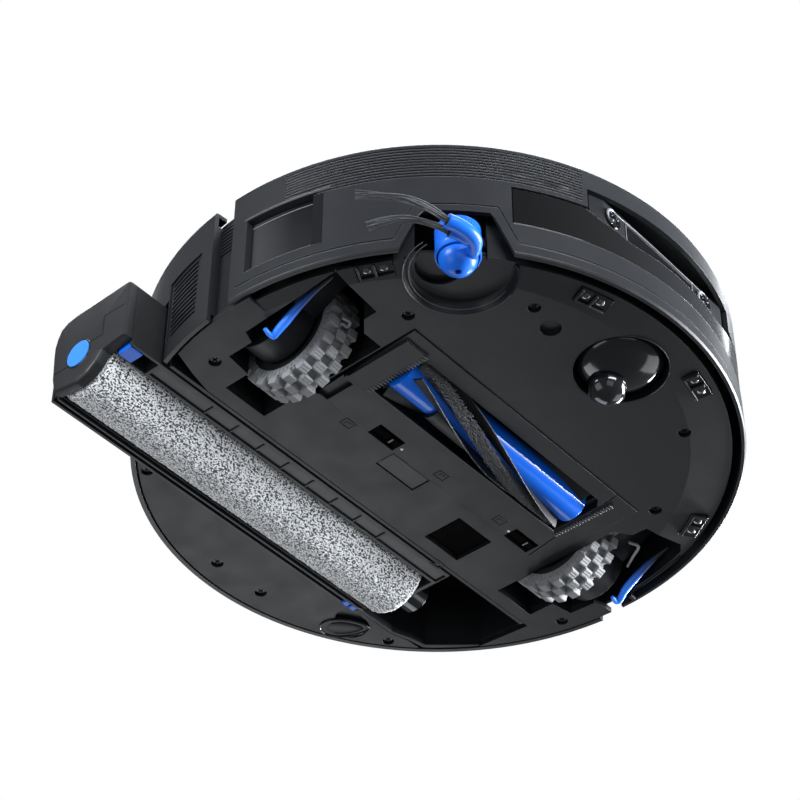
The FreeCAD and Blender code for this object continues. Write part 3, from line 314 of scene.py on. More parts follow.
MATERIALS = {made.name.split(".")[0]: made for made in (
    moulded("base_plastic", (0.0071, 0.0077, 0.0092), 0.46),
    moulded("shell_plastic", (0.0126, 0.0134, 0.0155), 0.36),
    moulded("top_plastic", (0.0126, 0.0134, 0.0155), 0.62, gloss=0.06, worn=0.06),
    glossy("gloss_black", (0.006, 0.006, 0.007), 0.12),
    moulded("mop_plastic", (0.0144, 0.015, 0.0161), 0.42),
    moulded("blue_plastic", (0.006, 0.105, 0.56), 0.32, worn=0.12),
    moulded("blue_core", (0.003, 0.105, 0.58), 0.2, worn=0.12),
    moulded("light_blue", (0.03, 0.19, 0.62), 0.45, worn=0.06),
    moulded("tyre_rubber", (0.2056, 0.2083, 0.2139), 0.72, grain=0.00008, grain_scale=1400.0),
    moulded("fin_rubber", (0.0078, 0.0078, 0.0083), 0.4),
    # the plush's near-black second colour is painted shade between its loops
    fleece("plush", (0.81, 0.82, 0.835), (0.008, 0.008, 0.009)),
    moulded("bristle", (0.09, 0.093, 0.1), 0.42),
    glossy("lens_glass", (0.02, 0.02, 0.024), 0.06, coat=1.0),
    glossy("steel", (0.2333, 0.2389, 0.25), 0.28, metal=1.0),
    moulded("inner_plastic", (0.0167, 0.0167, 0.0178), 0.55),
    moulded("battery_wrap", (0.0111, 0.0278, 0.0889), 0.4),
    moulded("board", (0.0056, 0.0333, 0.0167), 0.5),
    glossy("tank_plastic", (0.0194, 0.0206, 0.0233), 0.16),
    moulded("filter_media", (0.62, 0.62, 0.58), 0.9),
    moulded("brush_hair", (0.1667, 0.1694, 0.1778), 0.55, grain=0.0),
    # light grey: the spring hooks' and latch bars' own colour, and painted highlight on the window's and
    # sensor window's lines and the lens crescents and dots
    moulded("bright_edge", (0.1889, 0.1944, 0.2056), 0.3, grain=0.0),
    moulded("dull_black", (0.001, 0.001, 0.001), 0.9, gloss=0.04),
    moulded("dark_rubber", (0.0019, 0.0019, 0.0022), 0.5, grain=0.0),
    # painted highlight: the lighter grey of the blade tips, the dish's rims and the brush mouth's lip and
    # grip strips
    moulded("painted_edge_highlight", (0.0472, 0.0489, 0.0522), 0.35, grain=0.0),
    glossy("dark_steel", (0.0278, 0.0278, 0.0306), 0.32, metal=1.0),
    # painted reflection across the bumper's band panel
    fading("panel_painted_reflection", "X", -0.1, 0.1, PANEL_REFLECTION_TONES, 0.16),
    # painted reflection across the side window
    fading("window_painted_reflection", "Y", -0.053, -0.012, WINDOW_REFLECTION_TONES, 0.3),
    # painted shade on the levers, darkest up in the wheel wells
    fading("lever_fade", "Y", -0.042, -0.018, LEVER_SHADE_TONES, 0.36),
    moulded("white_mark", (0.7, 0.7, 0.7), 0.5, grain=0.0),
)}

# nodes that look different from the rest of their slot
OWN_FINISH = {
    "cover_latch_right": "dull_black", "cover_latch_left": "dull_black", "base_screws": "dark_steel",
    "roller_coupling": "gloss_black", "top_cover": "top_plastic", "lid": "top_plastic",
    "power_button": "top_plastic",
}


def dress_nodes():
    """The finish of each CAD node follows its material slot, apart from those with a finish of their own."""
    for name, node in NODES.items():
        for place in node.material_slots:
            place.material = MATERIALS[OWN_FINISH.get(name, place.material.name.split(".")[0])]


# -------- mesh building, in millimetres


def span(node):
    """A node's lowest and highest corners, in millimetres."""
    low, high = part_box(node)
    return Vector(low) / MM, Vector(high) / MM


def around(theta, radius, height):
    """A point by its angle from the front to the robot's right, its reach from the middle and its height."""
    angle = math.radians(theta)
    return Vector((-radius * math.sin(angle), -radius * math.cos(angle), height))


def smooth_route(points, steps=8):
    """Points along a curve through the given ones."""
    points = [Vector(p) for p in points]
    padded = [2 * points[0] - points[1], *points, 2 * points[-1] - points[-2]]
    route = []
    for a, b, c, d in zip(padded, padded[1:], padded[2:], padded[3:]):
        for i in range(steps):
            t = i / steps
            route.append(0.5 * (2 * b + (c - a) * t + (2 * a - 5 * b + 4 * c - d) * t**2
                                + (3 * b - a - 3 * c + d) * t**3))
    return route + [points[-1]]


def eased(values, count):
    """Count numbers that run evenly through the given ones."""
    out = []
    for i in range(count):
        at = i * (len(values) - 1) / (count - 1)
        k = min(int(at), len(values) - 2)
        out.append(values[k] + (values[k + 1] - values[k]) * (at - k))
    return out


class Build:
    """A mesh being gathered from closed bodies."""

    def __init__(self):
        self.points = []
        self.faces = []

    def add(self, points, faces):
        first = len(self.points)
        self.points += [tuple(p) for p in points]
        self.faces += [tuple(first + i for i in face) for face in faces]

    def loft(self, rings, ends=True):
        """A skin over rings that each have the same number of points, closed at both ends."""
        count = len(rings[0])
        faces = []
        for r in range(len(rings) - 1):
            for i in range(count):
                j = (i + 1) % count
                faces.append((r * count + i, r * count + j, (r + 1) * count + j, (r + 1) * count + i))
        if ends:
            faces.append(tuple(range(count - 1, -1, -1)))
            faces.append(tuple((len(rings) - 1) * count + i for i in range(count)))
        self.add([p for ring in rings for p in ring], faces)

    def tube(self, route, radii, sides=10, flat=1.0, side_hint=(0, 0, 1)):
        """A bar along a route; radii is one number or one a point, and flat squeezes it towards the hint."""
        route = [Vector(p) for p in route]
        if not isinstance(radii, (list, tuple)):
            radii = [radii] * len(route)
        rings = []
        for i, (point, radius) in enumerate(zip(route, radii)):
            ahead = route[min(i + 1, len(route) - 1)] - route[max(i - 1, 0)]
            across = ahead.cross(Vector(side_hint)).normalized()
            over = across.cross(ahead).normalized()
            turns = [2 * math.pi * k / sides for k in range(sides)]
            rings.append([point + radius * (math.cos(t) * across + flat * math.sin(t) * over) for t in turns])
        self.loft(rings)

    def lathe(self, profile, centre, axis, steps, first=0.0, last=360.0, wave=None):
        """A closed section of (radius, along) points, turned about an axis through centre."""
        axis = Vector(axis).normalized()
        start = axis.orthogonal().normalized()
        side = axis.cross(start)
        whole = last - first > 359.9
        rings = []
        for k in range(steps if whole else steps + 1):
            angle = math.radians(first + (last - first) * k / steps)
            out = math.cos(angle) * start + math.sin(angle) * side
            ring = []
            for radius, along in profile:
                reach = radius + (wave(angle, radius, along) if wave else 0.0)
                ring.append(Vector(centre) + reach * out + along * axis)
            rings.append(ring)
        if whole:
            rings.append(rings[0])
        self.loft(rings, ends=not whole)

    def slab(self, low, high, chamfer=0.4, turn=0.0, middle=None):
        """A block with chamfered edges, turned about the upright through its middle."""
        low, high = Vector(low), Vector(high)
        middle = Vector(middle) if middle else (low + high) / 2
        rings = []
        levels = ((low.z, chamfer), (low.z + chamfer, 0), (high.z - chamfer, 0), (high.z, chamfer))
        for height, inset in levels:
            x0, x1 = low.x + inset, high.x - inset
            y0, y1 = low.y + inset, high.y - inset
            c = chamfer
            plan = [(x0 + c, y0), (x1 - c, y0), (x1, y0 + c), (x1, y1 - c),
                    (x1 - c, y1), (x0 + c, y1), (x0, y1 - c), (x0, y0 + c)]
            rings.append([Vector((x, y, height)) for x, y in plan])
        rotation = Matrix.Rotation(math.radians(turn), 3, "Z")
        flat = Vector((middle.x, middle.y, 0))
        self.loft([[rotation @ (p - flat) + flat for p in ring] for ring in rings])

    def piece(self, name, body, slot, replaces=(), finish=None, crease=35.0):
        """The gathered mesh as a piece that rides on a body."""
        mesh = bpy.data.meshes.new(name)
        mesh.from_pydata([Vector(p) * MM for p in self.points], [], self.faces)
        work = bmesh.new()
        work.from_mesh(mesh)
        bmesh.ops.remove_doubles(work, verts=work.verts, dist=2e-6)
        bmesh.ops.recalc_face_normals(work, faces=work.faces)
        work.to_mesh(mesh)
        work.free()
        mesh.polygons.foreach_set("use_smooth", [True] * len(mesh.polygons))
        mesh.set_sharp_from_angle(angle=math.radians(crease))
        mesh.materials.append(MATERIALS[finish or slot])
        made = linked(name, mesh)
        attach(made, body)
        if replaces:
            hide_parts(*replaces)
        return made


# -------- roller mop


def plush_sleeve():
    """Looped microfibre round the roller core, its surface uneven all over and rounded at both ends."""
    low, high = span("roller_sleeve")
    bore = (span("roller_core")[1].z - span("roller_core")[0].z) / 2
    centre = Vector((0, (low.y + high.y) / 2, (low.z + high.z) / 2))
    full = (high.z - low.z) / 2
    step = 1.05
    round_end = 4.0
    along = [low.x + step * i for i in range(int((high.x - low.x) / step) + 1)]
    sides = int(2 * math.pi * full / step)
    rings = []
    for x in along:
        end = min(x - low.x, high.x - x)
        drop = 0.0
        if end < round_end:
            drop = round_end - math.sqrt(round_end**2 - (round_end - end)**2)
        ring = []
        for k in range(sides):
            angle = 2 * math.pi * k / sides
            out = Vector((0, math.cos(angle), math.sin(angle)))
            spot = Vector((x, centre.y, centre.z)) + full * out
            loops = noise.noise(spot / 1.5) * 0.6 + noise.noise(spot / 0.9) * 0.4
            ring.append(Vector((x, centre.y, centre.z)) + (full - 0.7 - drop + loops) * out)
        rings.append(ring)
    for x in (high.x, low.x):
        inner = [Vector((x, centre.y + bore * math.cos(2 * math.pi * k / sides),
                         centre.z + bore * math.sin(2 * math.pi * k / sides))) for k in range(sides)]
        if x == high.x:
            rings.append(inner)
        else:
            rings.insert(0, inner)
    build = Build()
    rings.append(rings[0])
    build.loft(rings, ends=False)
    build.piece("roller_plush", "mop_roller", "plush", replaces=["roller_sleeve"], crease=80)


def mop_details():
    """The two-part blue pull tab behind the roller, the housing's rear rail and the trough's floor."""
    low, high = span("mop_housing")
    tab = Build()
    for i in range(2):
        x = 51.0 + 5.9 * i
        tab.slab((x, high.y - 5.2, low.z - 0.9), (x + 5.2, high.y - 0.4, low.z + 1.5), 0.7)
    tab.piece("pull_tab", "mop_carriage", "blue_plastic")
    rail = Build()
    rail_end = low.x + 0.4
    for near, far, foot in ((112.5, 113.5, 7.6), (115.2, 116.8, 7.2), (113.0, 119.6, 10.2)):
        rail.slab((rail_end, near, foot), (66.0, far, 13.4), 0.3)
    rail.piece("rear_rail", "mop_carriage", "mop_plastic", finish="shell_plastic")
    trough = Build()
    trough.slab((-164.8, 60.4, 15.1), (78.8, 68.5, 17.6), 0.3)
    trough.piece("trough_floor", "mop_carriage", "mop_plastic", finish="shell_plastic")


# The end cap's outline, as (y, z) corners from its front upper one round to its rear and back below.
# The rear ones were measured off the photo, through the fitted camera.
CAP_OUTLINE = [(57.8, 57.0), (58.6, 57.9), (100.0, 57.9), (107.8, 56.8), (113.0, 53.8), (115.4, 48.1),
               (116.8, 41.9), (116.6, 34.7), (116.0, 26.4), (115.2, 16.4), (112.7, 6.3), (104.0, 4.2),
               (94.8, 2.7), (86.0, 4.6), (79.0, 9.5), (74.5, 15.5), (58.2, 17.4)]
# the fine seams on its face, each from one (y, z) to another
CAP_SEAMS = (((60, 41), (76.4, 41.5)), ((76, 27.5), (76.4, 41.5)), ((76, 27.5), (86, 27.9)),
             ((104, 19.2), (114, 19.6)))


def end_cap_look():
    """The end cap with a seat for its button, the rim round the button and the cap's seams."""
    cap_low, cap_high = span("mop_end_cap")
    button_low, button_high = span("mop_button")
    middle = (button_low + button_high) / 2
    rim = Build()
    radius = (button_high.z - button_low.z) / 2
    section = [(radius + 0.15, 0.5), (radius + 0.9, 0.5), (radius + 1.2, 0.1), (radius + 0.9, -0.25),
               (radius + 0.15, -0.1)]
    rim.lathe(section, (cap_low.x, middle.y, middle.z), (1, 0, 0), 72)
    rim.piece("button_rim", "mop_carriage", "mop_plastic", finish="gloss_black")

    corners = [Vector((y - middle.y, z - middle.z)) for y, z in CAP_OUTLINE]
    bearings = [math.atan2(c.y, c.x) for c in corners] + [math.pi * (k / 48 - 1) + 0.003 for k in range(96)]
    bearings.sort()

    def edge(bearing):
        """How far the outline is from the button's middle, at this bearing."""
        way = Vector((math.cos(bearing), math.sin(bearing)))
        best = 0.0
        for first, second in zip(corners, corners[1:] + corners[:1]):
            side = second - first
            cross = way.x * side.y - way.y * side.x
            if abs(cross) < 1e-9:
                continue
            reach = (first.x * side.y - first.y * side.x) / cross
            share = (first.x * way.y - first.y * way.x) / cross
            if reach > 0 and -1e-6 <= share <= 1 + 1e-6:
                best = max(best, reach)
        return best

    def on_face(x, bearing, reach):
        return Vector((x, middle.y + reach * math.cos(bearing), middle.z + reach * math.sin(bearing)))

    def outline_ring(x, inset):
        return [on_face(x, b, edge(b) - inset) for b in bearings]

    def seat_ring(x, reach):
        return [on_face(x, b, reach) for b in bearings]

    cap = Build()
    cap.loft([seat_ring(cap_low.x + 5.4, radius + 0.3), seat_ring(cap_low.x, radius + 0.3),
              outline_ring(cap_low.x, 1.6), outline_ring(cap_low.x + 0.5, 0.5),
              outline_ring(cap_low.x + 1.6, 0.0), outline_ring(cap_high.x, 0.0)])
    seams = Build()
    for first, second in CAP_SEAMS:
        ends = [(cap_low.x - 0.02, *first), (cap_low.x - 0.02, *second)]
        seams.tube(ends, 0.24, sides=6, side_hint=(1, 0, 0))
    seams.piece("cap_seams", "mop_carriage", "mop_plastic", finish="dark_rubber")
    cap.piece("end_cap_shell", "mop_carriage", "mop_plastic", replaces=["mop_end_cap"], crease=42)


# -------- drive wheels


LUGS = 20
LUG_ROWS = 3
LUG_DEPTH = 3.6
LUG_HALF_SHARE = 0.29
NOTCHES = 3 * LUGS
NOTCH_HALF_SHARE = 0.26


def tyre(side):
    """A tyre with three staggered rows of stepped lugs, and a ring of notches on each of its sides."""
    low, high = span("tyre_" + side)
    full = (high.z - low.z) / 2
    centre = (low + high) / 2
    bore = (span("wheel_hub_" + side)[1].z - span("wheel_hub_" + side)[0].z) / 2
    width = high.x - low.x
    half = width / 2
    floor = full - LUG_DEPTH
    build = Build()
    body = [(bore, -half + 0.4), (floor - 1.2, -half + 0.4), (floor, -half + 1.6), (floor, half - 1.6),
            (floor - 1.2, half - 0.4), (bore, half - 0.4)]
    build.lathe(body, centre, (1, 0, 0), 120)
    row = width / LUG_ROWS

    def spot(x, radius, angle):
        return centre + Vector((x, radius * math.cos(angle), radius * math.sin(angle)))

    for r in range(LUG_ROWS):
        for i in range(LUGS):
            middle = 2 * math.pi * (i + 0.5 * (r % 2)) / LUGS
            x0 = -half + row * r + 0.15
            x1 = x0 + row - 0.3
            wide = 2 * math.pi * LUG_HALF_SHARE / LUGS
            rings = []
            tapers = ((floor - 0.8, 1.12), (full - 1.5, 0.98), (full - 0.5, 0.92), (full - 0.02, 0.78))
            for radius, share in tapers:
                trim = 0.0 if radius < full - 0.4 else 0.4
                a0, a1 = middle - wide * share, middle + wide * share
                rings.append([spot(x0 + trim, radius, a0), spot(x1 - trim, radius, a0),
                              spot(x1 - trim, radius, a1), spot(x0 + trim, radius, a1)])
            build.loft(rings)
            for step in (-0.5, 0.0, 0.5):
                at = middle + wide * 1.1 * step
                thin = wide * 0.09
                build.loft([[spot(x0 + 0.8, radius, at - thin), spot(x1 - 0.8, radius, at - thin),
                             spot(x1 - 0.8, radius, at + thin), spot(x0 + 0.8, radius, at + thin)]
                            for radius in (full - 1.2, full)])
    for i in range(NOTCHES):
        angle = 2 * math.pi * i / NOTCHES
        thin = 2 * math.pi * NOTCH_HALF_SHARE / NOTCHES
        for end in (-1, 1):
            x0, x1 = sorted((end * (half - 0.9), end * half))
            build.loft([[spot(x0, radius, angle - thin), spot(x1, radius, angle - thin),
                         spot(x1, radius, angle + thin), spot(x0, radius, angle + thin)]
                        for radius in (bore + 1.2, floor - 0.6)])
    build.piece("tread_" + side, "wheel_" + side, "tyre_rubber", replaces=["tyre_" + side], crease=30)


# The levers' and the springs' hooks' middle lines, measured off the photo through the fitted camera, and
# the levers' radii along theirs. Parts of the levers' lines were then moved clear of the wheel arms.
LEVER_ROUTES = {
    "right": [(-153.6, -8.2, 9.2), (-149.9, -7.5, 8.8), (-146.7, -7.6, 8.9), (-146.4, -8.4, 9.3),
              (-147.0, -11.2, 10.6), (-147.3, -14.1, 12.0), (-147.5, -17.8, 13.7), (-147.9, -23.4, 16.3),
              (-148.1, -33.1, 20.8), (-147.7, -39.5, 23.8), (-146.7, -45.4, 26.5), (-146.1, -49.0, 28.2)],
    "left": [(155.2, -8.1, 9.2), (157.4, -7.7, 9.0), (160.2, -7.5, 8.9), (161.0, -9.5, 9.8),
             (158.6, -15.1, 12.4), (157.6, -20.2, 14.8), (157.0, -25.8, 17.4), (156.7, -33.4, 21.0),
             (156.9, -38.3, 23.2), (157.4, -44.2, 26.0), (158.6, -49.5, 28.5)],
}
LEVER_RADII = [1.1, 1.5, 1.7, 2.2, 2.5, 2.6, 2.3, 2.0, 1.7, 1.3]
HOOK_LEVEL = 24.0
HOOK_ROUTES = {
    "right": [(-122.2, -35.2), (-116.7, -35.9), (-115.0, -32.2), (-118.7, -31.3), (-114.0, -23.0),
              (-115.1, -20.5)],
    "left": [(134.2, -37.3), (141.4, -39.2), (147.0, -31.0), (152.7, -22.6)],
}
HOOK_BODIES = {"right": "chassis", "left": "wheel_arm_left"}


def climb_lever(side):
    """A rounded arm that ends in a blue hook beside the wheel, with painted shade darkening it up in the
    wheel well, and the grey hook of the wheel's spring.
    """
    arm = Build()
    route = smooth_route(LEVER_ROUTES[side], 5)
    arm.tube(route, eased(LEVER_RADII, len(route)), sides=14)
    arm.piece("lever_arm_" + side, "climb_lever_" + side, "light_blue", replaces=["climb_lever_" + side],
              finish="lever_fade", crease=60)
    hook = Build()
    hook.tube(smooth_route([(x, y, HOOK_LEVEL) for x, y in HOOK_ROUTES[side]], 5), 1.0, sides=8)
    hook.piece("spring_hook_" + side, HOOK_BODIES[side], "steel", finish="bright_edge")


# -------- caster

HOOD_TOP = 34.0
HOOD_RIM = 24.5
POCKET_POWER = 2.4


def caster_look():
    """A glossy hood, open round the wheel, and a crowned wheel."""
    fork_low, fork_high = span("caster_fork")
    pivot = (fork_low + fork_high) / 2
    wheel_low, wheel_high = span("caster_wheel")
    hub = (wheel_low + wheel_high) / 2
    ahead = Vector((hub.x - pivot.x, hub.y - pivot.y, 0)).normalized()
    across = Vector((-ahead.y, ahead.x, 0))
    reach = (fork_high.x - fork_low.x) / 2 - 0.2
    foot = fork_low.z + 3.6
    half_long, half_wide = 11.0, 10.6
    shift = 7.0 * across
    offset = Vector((hub.x - pivot.x, hub.y - pivot.y, 0)) + shift
    pocket = Vector((pivot.x, pivot.y, 0)) + offset
    sides = 96

    def depth(point):
        """The domed hood's height above the floor, under this point."""
        away = min(1.0, math.hypot(point.x - pivot.x, point.y - pivot.y) / (reach + 0.1))
        return HOOD_RIM - (HOOD_RIM - foot) * math.sqrt(1 - away**2) ** 0.8

    def ring(share, level=None):
        """A closed line from the pocket's edge (share 0) to the hood's edge (share 1)."""
        out = []
        for k in range(sides):
            turn = 2 * math.pi * k / sides
            way = math.cos(turn) * ahead + math.sin(turn) * across
            near = ((abs(math.cos(turn)) / half_long)**POCKET_POWER
                    + (abs(math.sin(turn)) / half_wide)**POCKET_POWER) ** (-1 / POCKET_POWER)
            along = offset.dot(way)
            far = -along + math.sqrt(along**2 + reach**2 - offset.length_squared)
            point = pocket + (near + (far - near) * share) * way
            out.append(Vector((point.x, point.y, depth(point) if level is None else level)))
        return out

    hood = Build()
    rings = [ring(0, HOOD_TOP)] + [ring(i / 14) for i in range(15)] + [ring(1, HOOD_TOP)]
    hood.loft(rings + [rings[0]], ends=False)
    hood.piece("caster_hood", "caster_fork", "gloss_black", replaces=["caster_fork"], crease=50)

    wheel = Build()
    full = (wheel_high.z - wheel_low.z) / 2
    crown = [(0.05, -10.2), (full - 6.6, -10.2), (full - 4.2, -9.2), (full - 2.0, -6.6), (full - 0.7, -3.6),
             (full - 0.05, -0.9)]
    profile = crown + [(radius, -along) for radius, along in crown[::-1]]
    wheel.lathe(profile, hub + shift, across, 72)
    wheel.piece("caster_tread", "caster_wheel", "fin_rubber", replaces=["caster_wheel"],
                finish="gloss_black", crease=40)


# -------- main brush

BRUSH_TWIST = 1.01
BLADE_LEAN = 15.0
BLADE_PHASES = (26, -41)
TUFT_PHASE = -8
TUFT_PITCH = 0.42
TUFT_ROWS = 8


def main_brush_rubber():
    """Two groups of leaning rubber blades, each with a band of bristles, wound round the blue core."""
    low, high = span("brush_fins")
    centre = (low + high) / 2
    tip = (high.z - low.z) / 2 - 0.2
    core = (span("brush_core")[1].z - span("brush_core")[0].z) / 2

    def spot(x, radius, degrees):
        angle = math.radians(degrees)
        return Vector((x, centre.y + radius * math.sin(angle), centre.z - radius * math.cos(angle)))

    def winding(phase, x):
        """The angle in degrees at which what starts at phase has come round, at x."""
        return phase + BRUSH_TWIST * x

    blades = Build()
    steps = 56
    section = [(0.0, 1.0), (0.32, 0.62), (0.66, 0.26), (1.0, 0.05),
               (1.0, -0.08), (0.66, 0.0), (0.32, 0.3), (0.0, 0.55)]
    for half_turn in (0, 180):
        for phase in BLADE_PHASES:
            rings = []
            for i in range(steps + 1):
                x = low.x + (high.x - low.x) * i / steps
                at = winding(phase + half_turn, x)
                rings.append([spot(x, core - 0.3 + (tip - core + 0.3) * share, at + BLADE_LEAN * turn)
                              for share, turn in section])
            blades.loft(rings)
    blades.piece("brush_blades", "main_brush", "fin_rubber", replaces=["brush_fins"],
                 finish="dark_rubber", crease=50)

    # a near-black web over the core beside one blade, where the core shows black: partly a rubber flap,
    # partly painted shade
    web = Build()
    shape = [(-0.3, 5), (1.6, 12), (2.4, 26), (2.6, 40), (2.4, 56), (1.6, 68), (-0.3, 75), (-0.6, 40)]
    rings = []
    for i in range(steps + 1):
        x = low.x + 26 + (high.x - low.x - 26) * i / steps
        rings.append([spot(x, core + lift, winding(BLADE_PHASES[0], x) + turn) for lift, turn in shape])
    web.loft(rings)
    web.piece("brush_shade_web", "main_brush", "fin_rubber", finish="dark_rubber")

    # the thin lighter lines along the blade tips are painted highlight
    lips = Build()
    for half_turn in (0, 180):
        for phase in BLADE_PHASES:
            route = [low.x + (high.x - low.x) * i / steps for i in range(steps + 1)]
            lips.tube([spot(x, tip - 0.1, winding(phase + half_turn, x)) for x in route], 0.24, sides=5,
                      side_hint=(0, 0.1, 1))
    lips.piece("blade_lips", "main_brush", "fin_rubber", finish="painted_edge_highlight")

    tufts = Build()
    rng = random.Random(5)
    for half_turn in (0, 180):
        for i in range(int((high.x - low.x) / TUFT_PITCH)):
            x = low.x + TUFT_PITCH * i
            for row in range(TUFT_ROWS):
                at = winding(TUFT_PHASE + half_turn, x) + (row - 3.5) * 3.4 + rng.uniform(-1.6, 1.6)
                far = at + rng.uniform(-2.5, 2.5)
                top = tip - rng.uniform(0.1, 1.3)
                foot, end = spot(x, core - 0.2, at), spot(x + rng.uniform(-0.4, 0.4), top, far)
                tufts.tube([foot, end], [0.3, 0.26], sides=3, side_hint=(1, 0, 0))
    tufts.piece("brush_tufts", "main_brush", "bristle", finish="brush_hair")


# -------- side brush


RIBS = 44
DOME_RADIUS = 10.6
DOME_TOP = 19.0
ARM_FLAT = 0.86
# the middle lines of the hub's two tuft arms, from the brush's axis
LONG_ARM = [(3.2, -5.6, 4.0), (-0.5, -10.5, 1.2), (-6.5, -16.4, 0.2), (-14.0, -18.6, 0.0),
            (-22.0, -17.6, 0.0), (-27.6, -15.6, 0.0)]
SHORT_ARM = [(-9.5, -15.0, 0.0), (-15.5, -14.0, 0.0), (-21.0, -11.6, 0.0)]
# each tuft of bristles: its middle line, its half width at the root and at the tip, and its hairs
FANS = [
    ([(-26.5, -16.0), (-40.5, -14.0), (-52.0, -9.7), (-62.0, -2.2), (-71.6, 8.2)], 2.0, 3.0, 15),
    ([(-20.0, -12.0), (-33.0, -7.6), (-42.5, -0.4), (-48.0, 8.6), (-51.2, 18.0)], 1.9, 2.6, 13),
]


def side_brush_look():
    """The ribbed blue barrel, the domed hub with its two arms, their sockets and the bristles."""
    sleeve_low, sleeve_high = span("side_brush_sleeve")
    hub_low = span("side_brush_hub")[0]
    axis = Vector(((sleeve_low.x + sleeve_high.x) / 2, (sleeve_low.y + sleeve_high.y) / 2, 0))
    wide = (sleeve_high.x - sleeve_low.x) / 2
    foot, top = sleeve_low.z, sleeve_high.z

    def ribs(angle, radius, along):
        inside = foot + 4.5 < along < top - 3.5 and radius > wide - 1.5
        return 0.22 * math.cos(RIBS * angle) if inside else 0.0

    barrel = Build()
    outer = [(wide - 0.9, foot), (wide - 0.25, foot + 0.4), (wide - 0.1, foot + 1.2),
             (wide - 0.1, foot + 3.8), (wide - 0.5, foot + 4.4), (wide - 0.5, foot + 5.0),
             (wide - 0.4, top - 4.2), (wide - 0.1, top - 3.0), (wide - 0.1, top - 1.0),
             (wide - 1.0, top - 0.1)]
    inner = [(2.6, top - 0.1), (2.6, 26.0), (wide - 1.2, 25.4), (wide - 1.2, foot)]
    barrel.lathe(outer + inner, axis, (0, 0, 1), 352, wave=ribs)
    barrel.piece("side_brush_barrel", "side_brush_arm", "blue_plastic", replaces=["side_brush_sleeve"],
                 crease=40)

    level = hub_low.z + DOME_RADIUS
    dome = Build()
    profile = [(1.7, hub_low.z + 0.25), (1.7, hub_low.z + 3.0), (0.05, hub_low.z + 3.1)]
    arc = [(DOME_RADIUS * math.sin(a), level - DOME_RADIUS * math.cos(a))
           for a in (math.radians(9 + 81 * i / 18) for i in range(19))]
    shape = [(0.05, DOME_TOP)] + profile[::-1] + arc + [(DOME_RADIUS, DOME_TOP)]
    dome.lathe(shape, axis, (0, 0, 1), 96)
    height = hub_low.z + 5.6
    route = [axis + Vector((x, y, height + z)) for x, y, z in smooth_route(LONG_ARM, 7)]
    count = len(route)
    radii = [2.5 + 1.9 * min(1.0, 2.2 * i / count) for i in range(count)]
    dome.tube(route, radii, sides=20, flat=ARM_FLAT)
    second = [axis + Vector((x, y, height + z)) for x, y, z in smooth_route(SHORT_ARM, 6)]
    dome.tube(second, 3.3, sides=18, flat=ARM_FLAT)
    dome.piece("side_brush_dome", "side_brush", "blue_plastic", replaces=["side_brush_hub"], crease=40)

    sockets = Build()
    for start, end in (((-26.9, -15.9), (-28.0, -15.4)), ((-20.3, -11.9), (-21.4, -11.3))):
        ends = [axis + Vector((x, y, height)) for x, y in (start, end)]
        sockets.tube(ends, [2.9, 2.5], sides=18, flat=ARM_FLAT)
    sockets.piece("tuft_sockets", "side_brush", "fin_rubber")

    hairs = Build()
    rng = random.Random(11)
    for route, start_wide, end_wide, count in FANS:
        for k in range(count):
            share = 2 * k / (count - 1) - 1
            drift = rng.uniform(-0.5, 0.5)
            points = []
            for n, (x, y) in enumerate(route):
                t = n / (len(route) - 1)
                ahead = Vector(route[min(n + 1, len(route) - 1)]) - Vector(route[max(n - 1, 0)])
                across = Vector((-ahead.y, ahead.x)).normalized()
                off = share * (start_wide * (1 - t) * 0.8 + end_wide * t) + drift * t
                lift = rng.uniform(-1.0, 1.0) * (0.9 if n else 0.5) + share * 0.6 * (1 - t)
                points.append(axis + Vector((x + off * across.x, y + off * across.y, height + lift)))
            curve = smooth_route(points, 6)
            hairs.tube(curve, [0.34 - 0.2 * i / len(curve) for i in range(len(curve))], sides=5)
    hairs.piece("side_brush_hair", "side_brush", "bristle", replaces=["side_brush_bristles"])


# -------- bumper, window and sensors


# reaches from the robot's middle, and angles from its front towards its right
WINDOW_REACH = 171.7
WINDOW_ANGLES = (72.2, 85.8)
LIP_REACH = 175.6
GAP_REACHES = (176.3, 176.58)
# the bumper lip's corners, as (angle, z): it steps up over the side brush's dish
LIP_CORNERS = [(88.0, 23.6), (57.5, 23.8), (52.5, 44.5), (41.0, 46.0), (35.8, 24.0), (-88.0, 23.6)]
# the top edge of the glossy band on each side, as (angle, z), and the sill behind its dip
BAND_EDGE = [(0.0, 53.5), (13.0, 54.0), (16.7, 58.0), (19.4, 60.5), (23.0, 66.0), (37.0, 66.0)]
BAND_HALF_ANGLE = 36.8
SILL_LEVEL = 63.0
SILL_REACH = 164.7


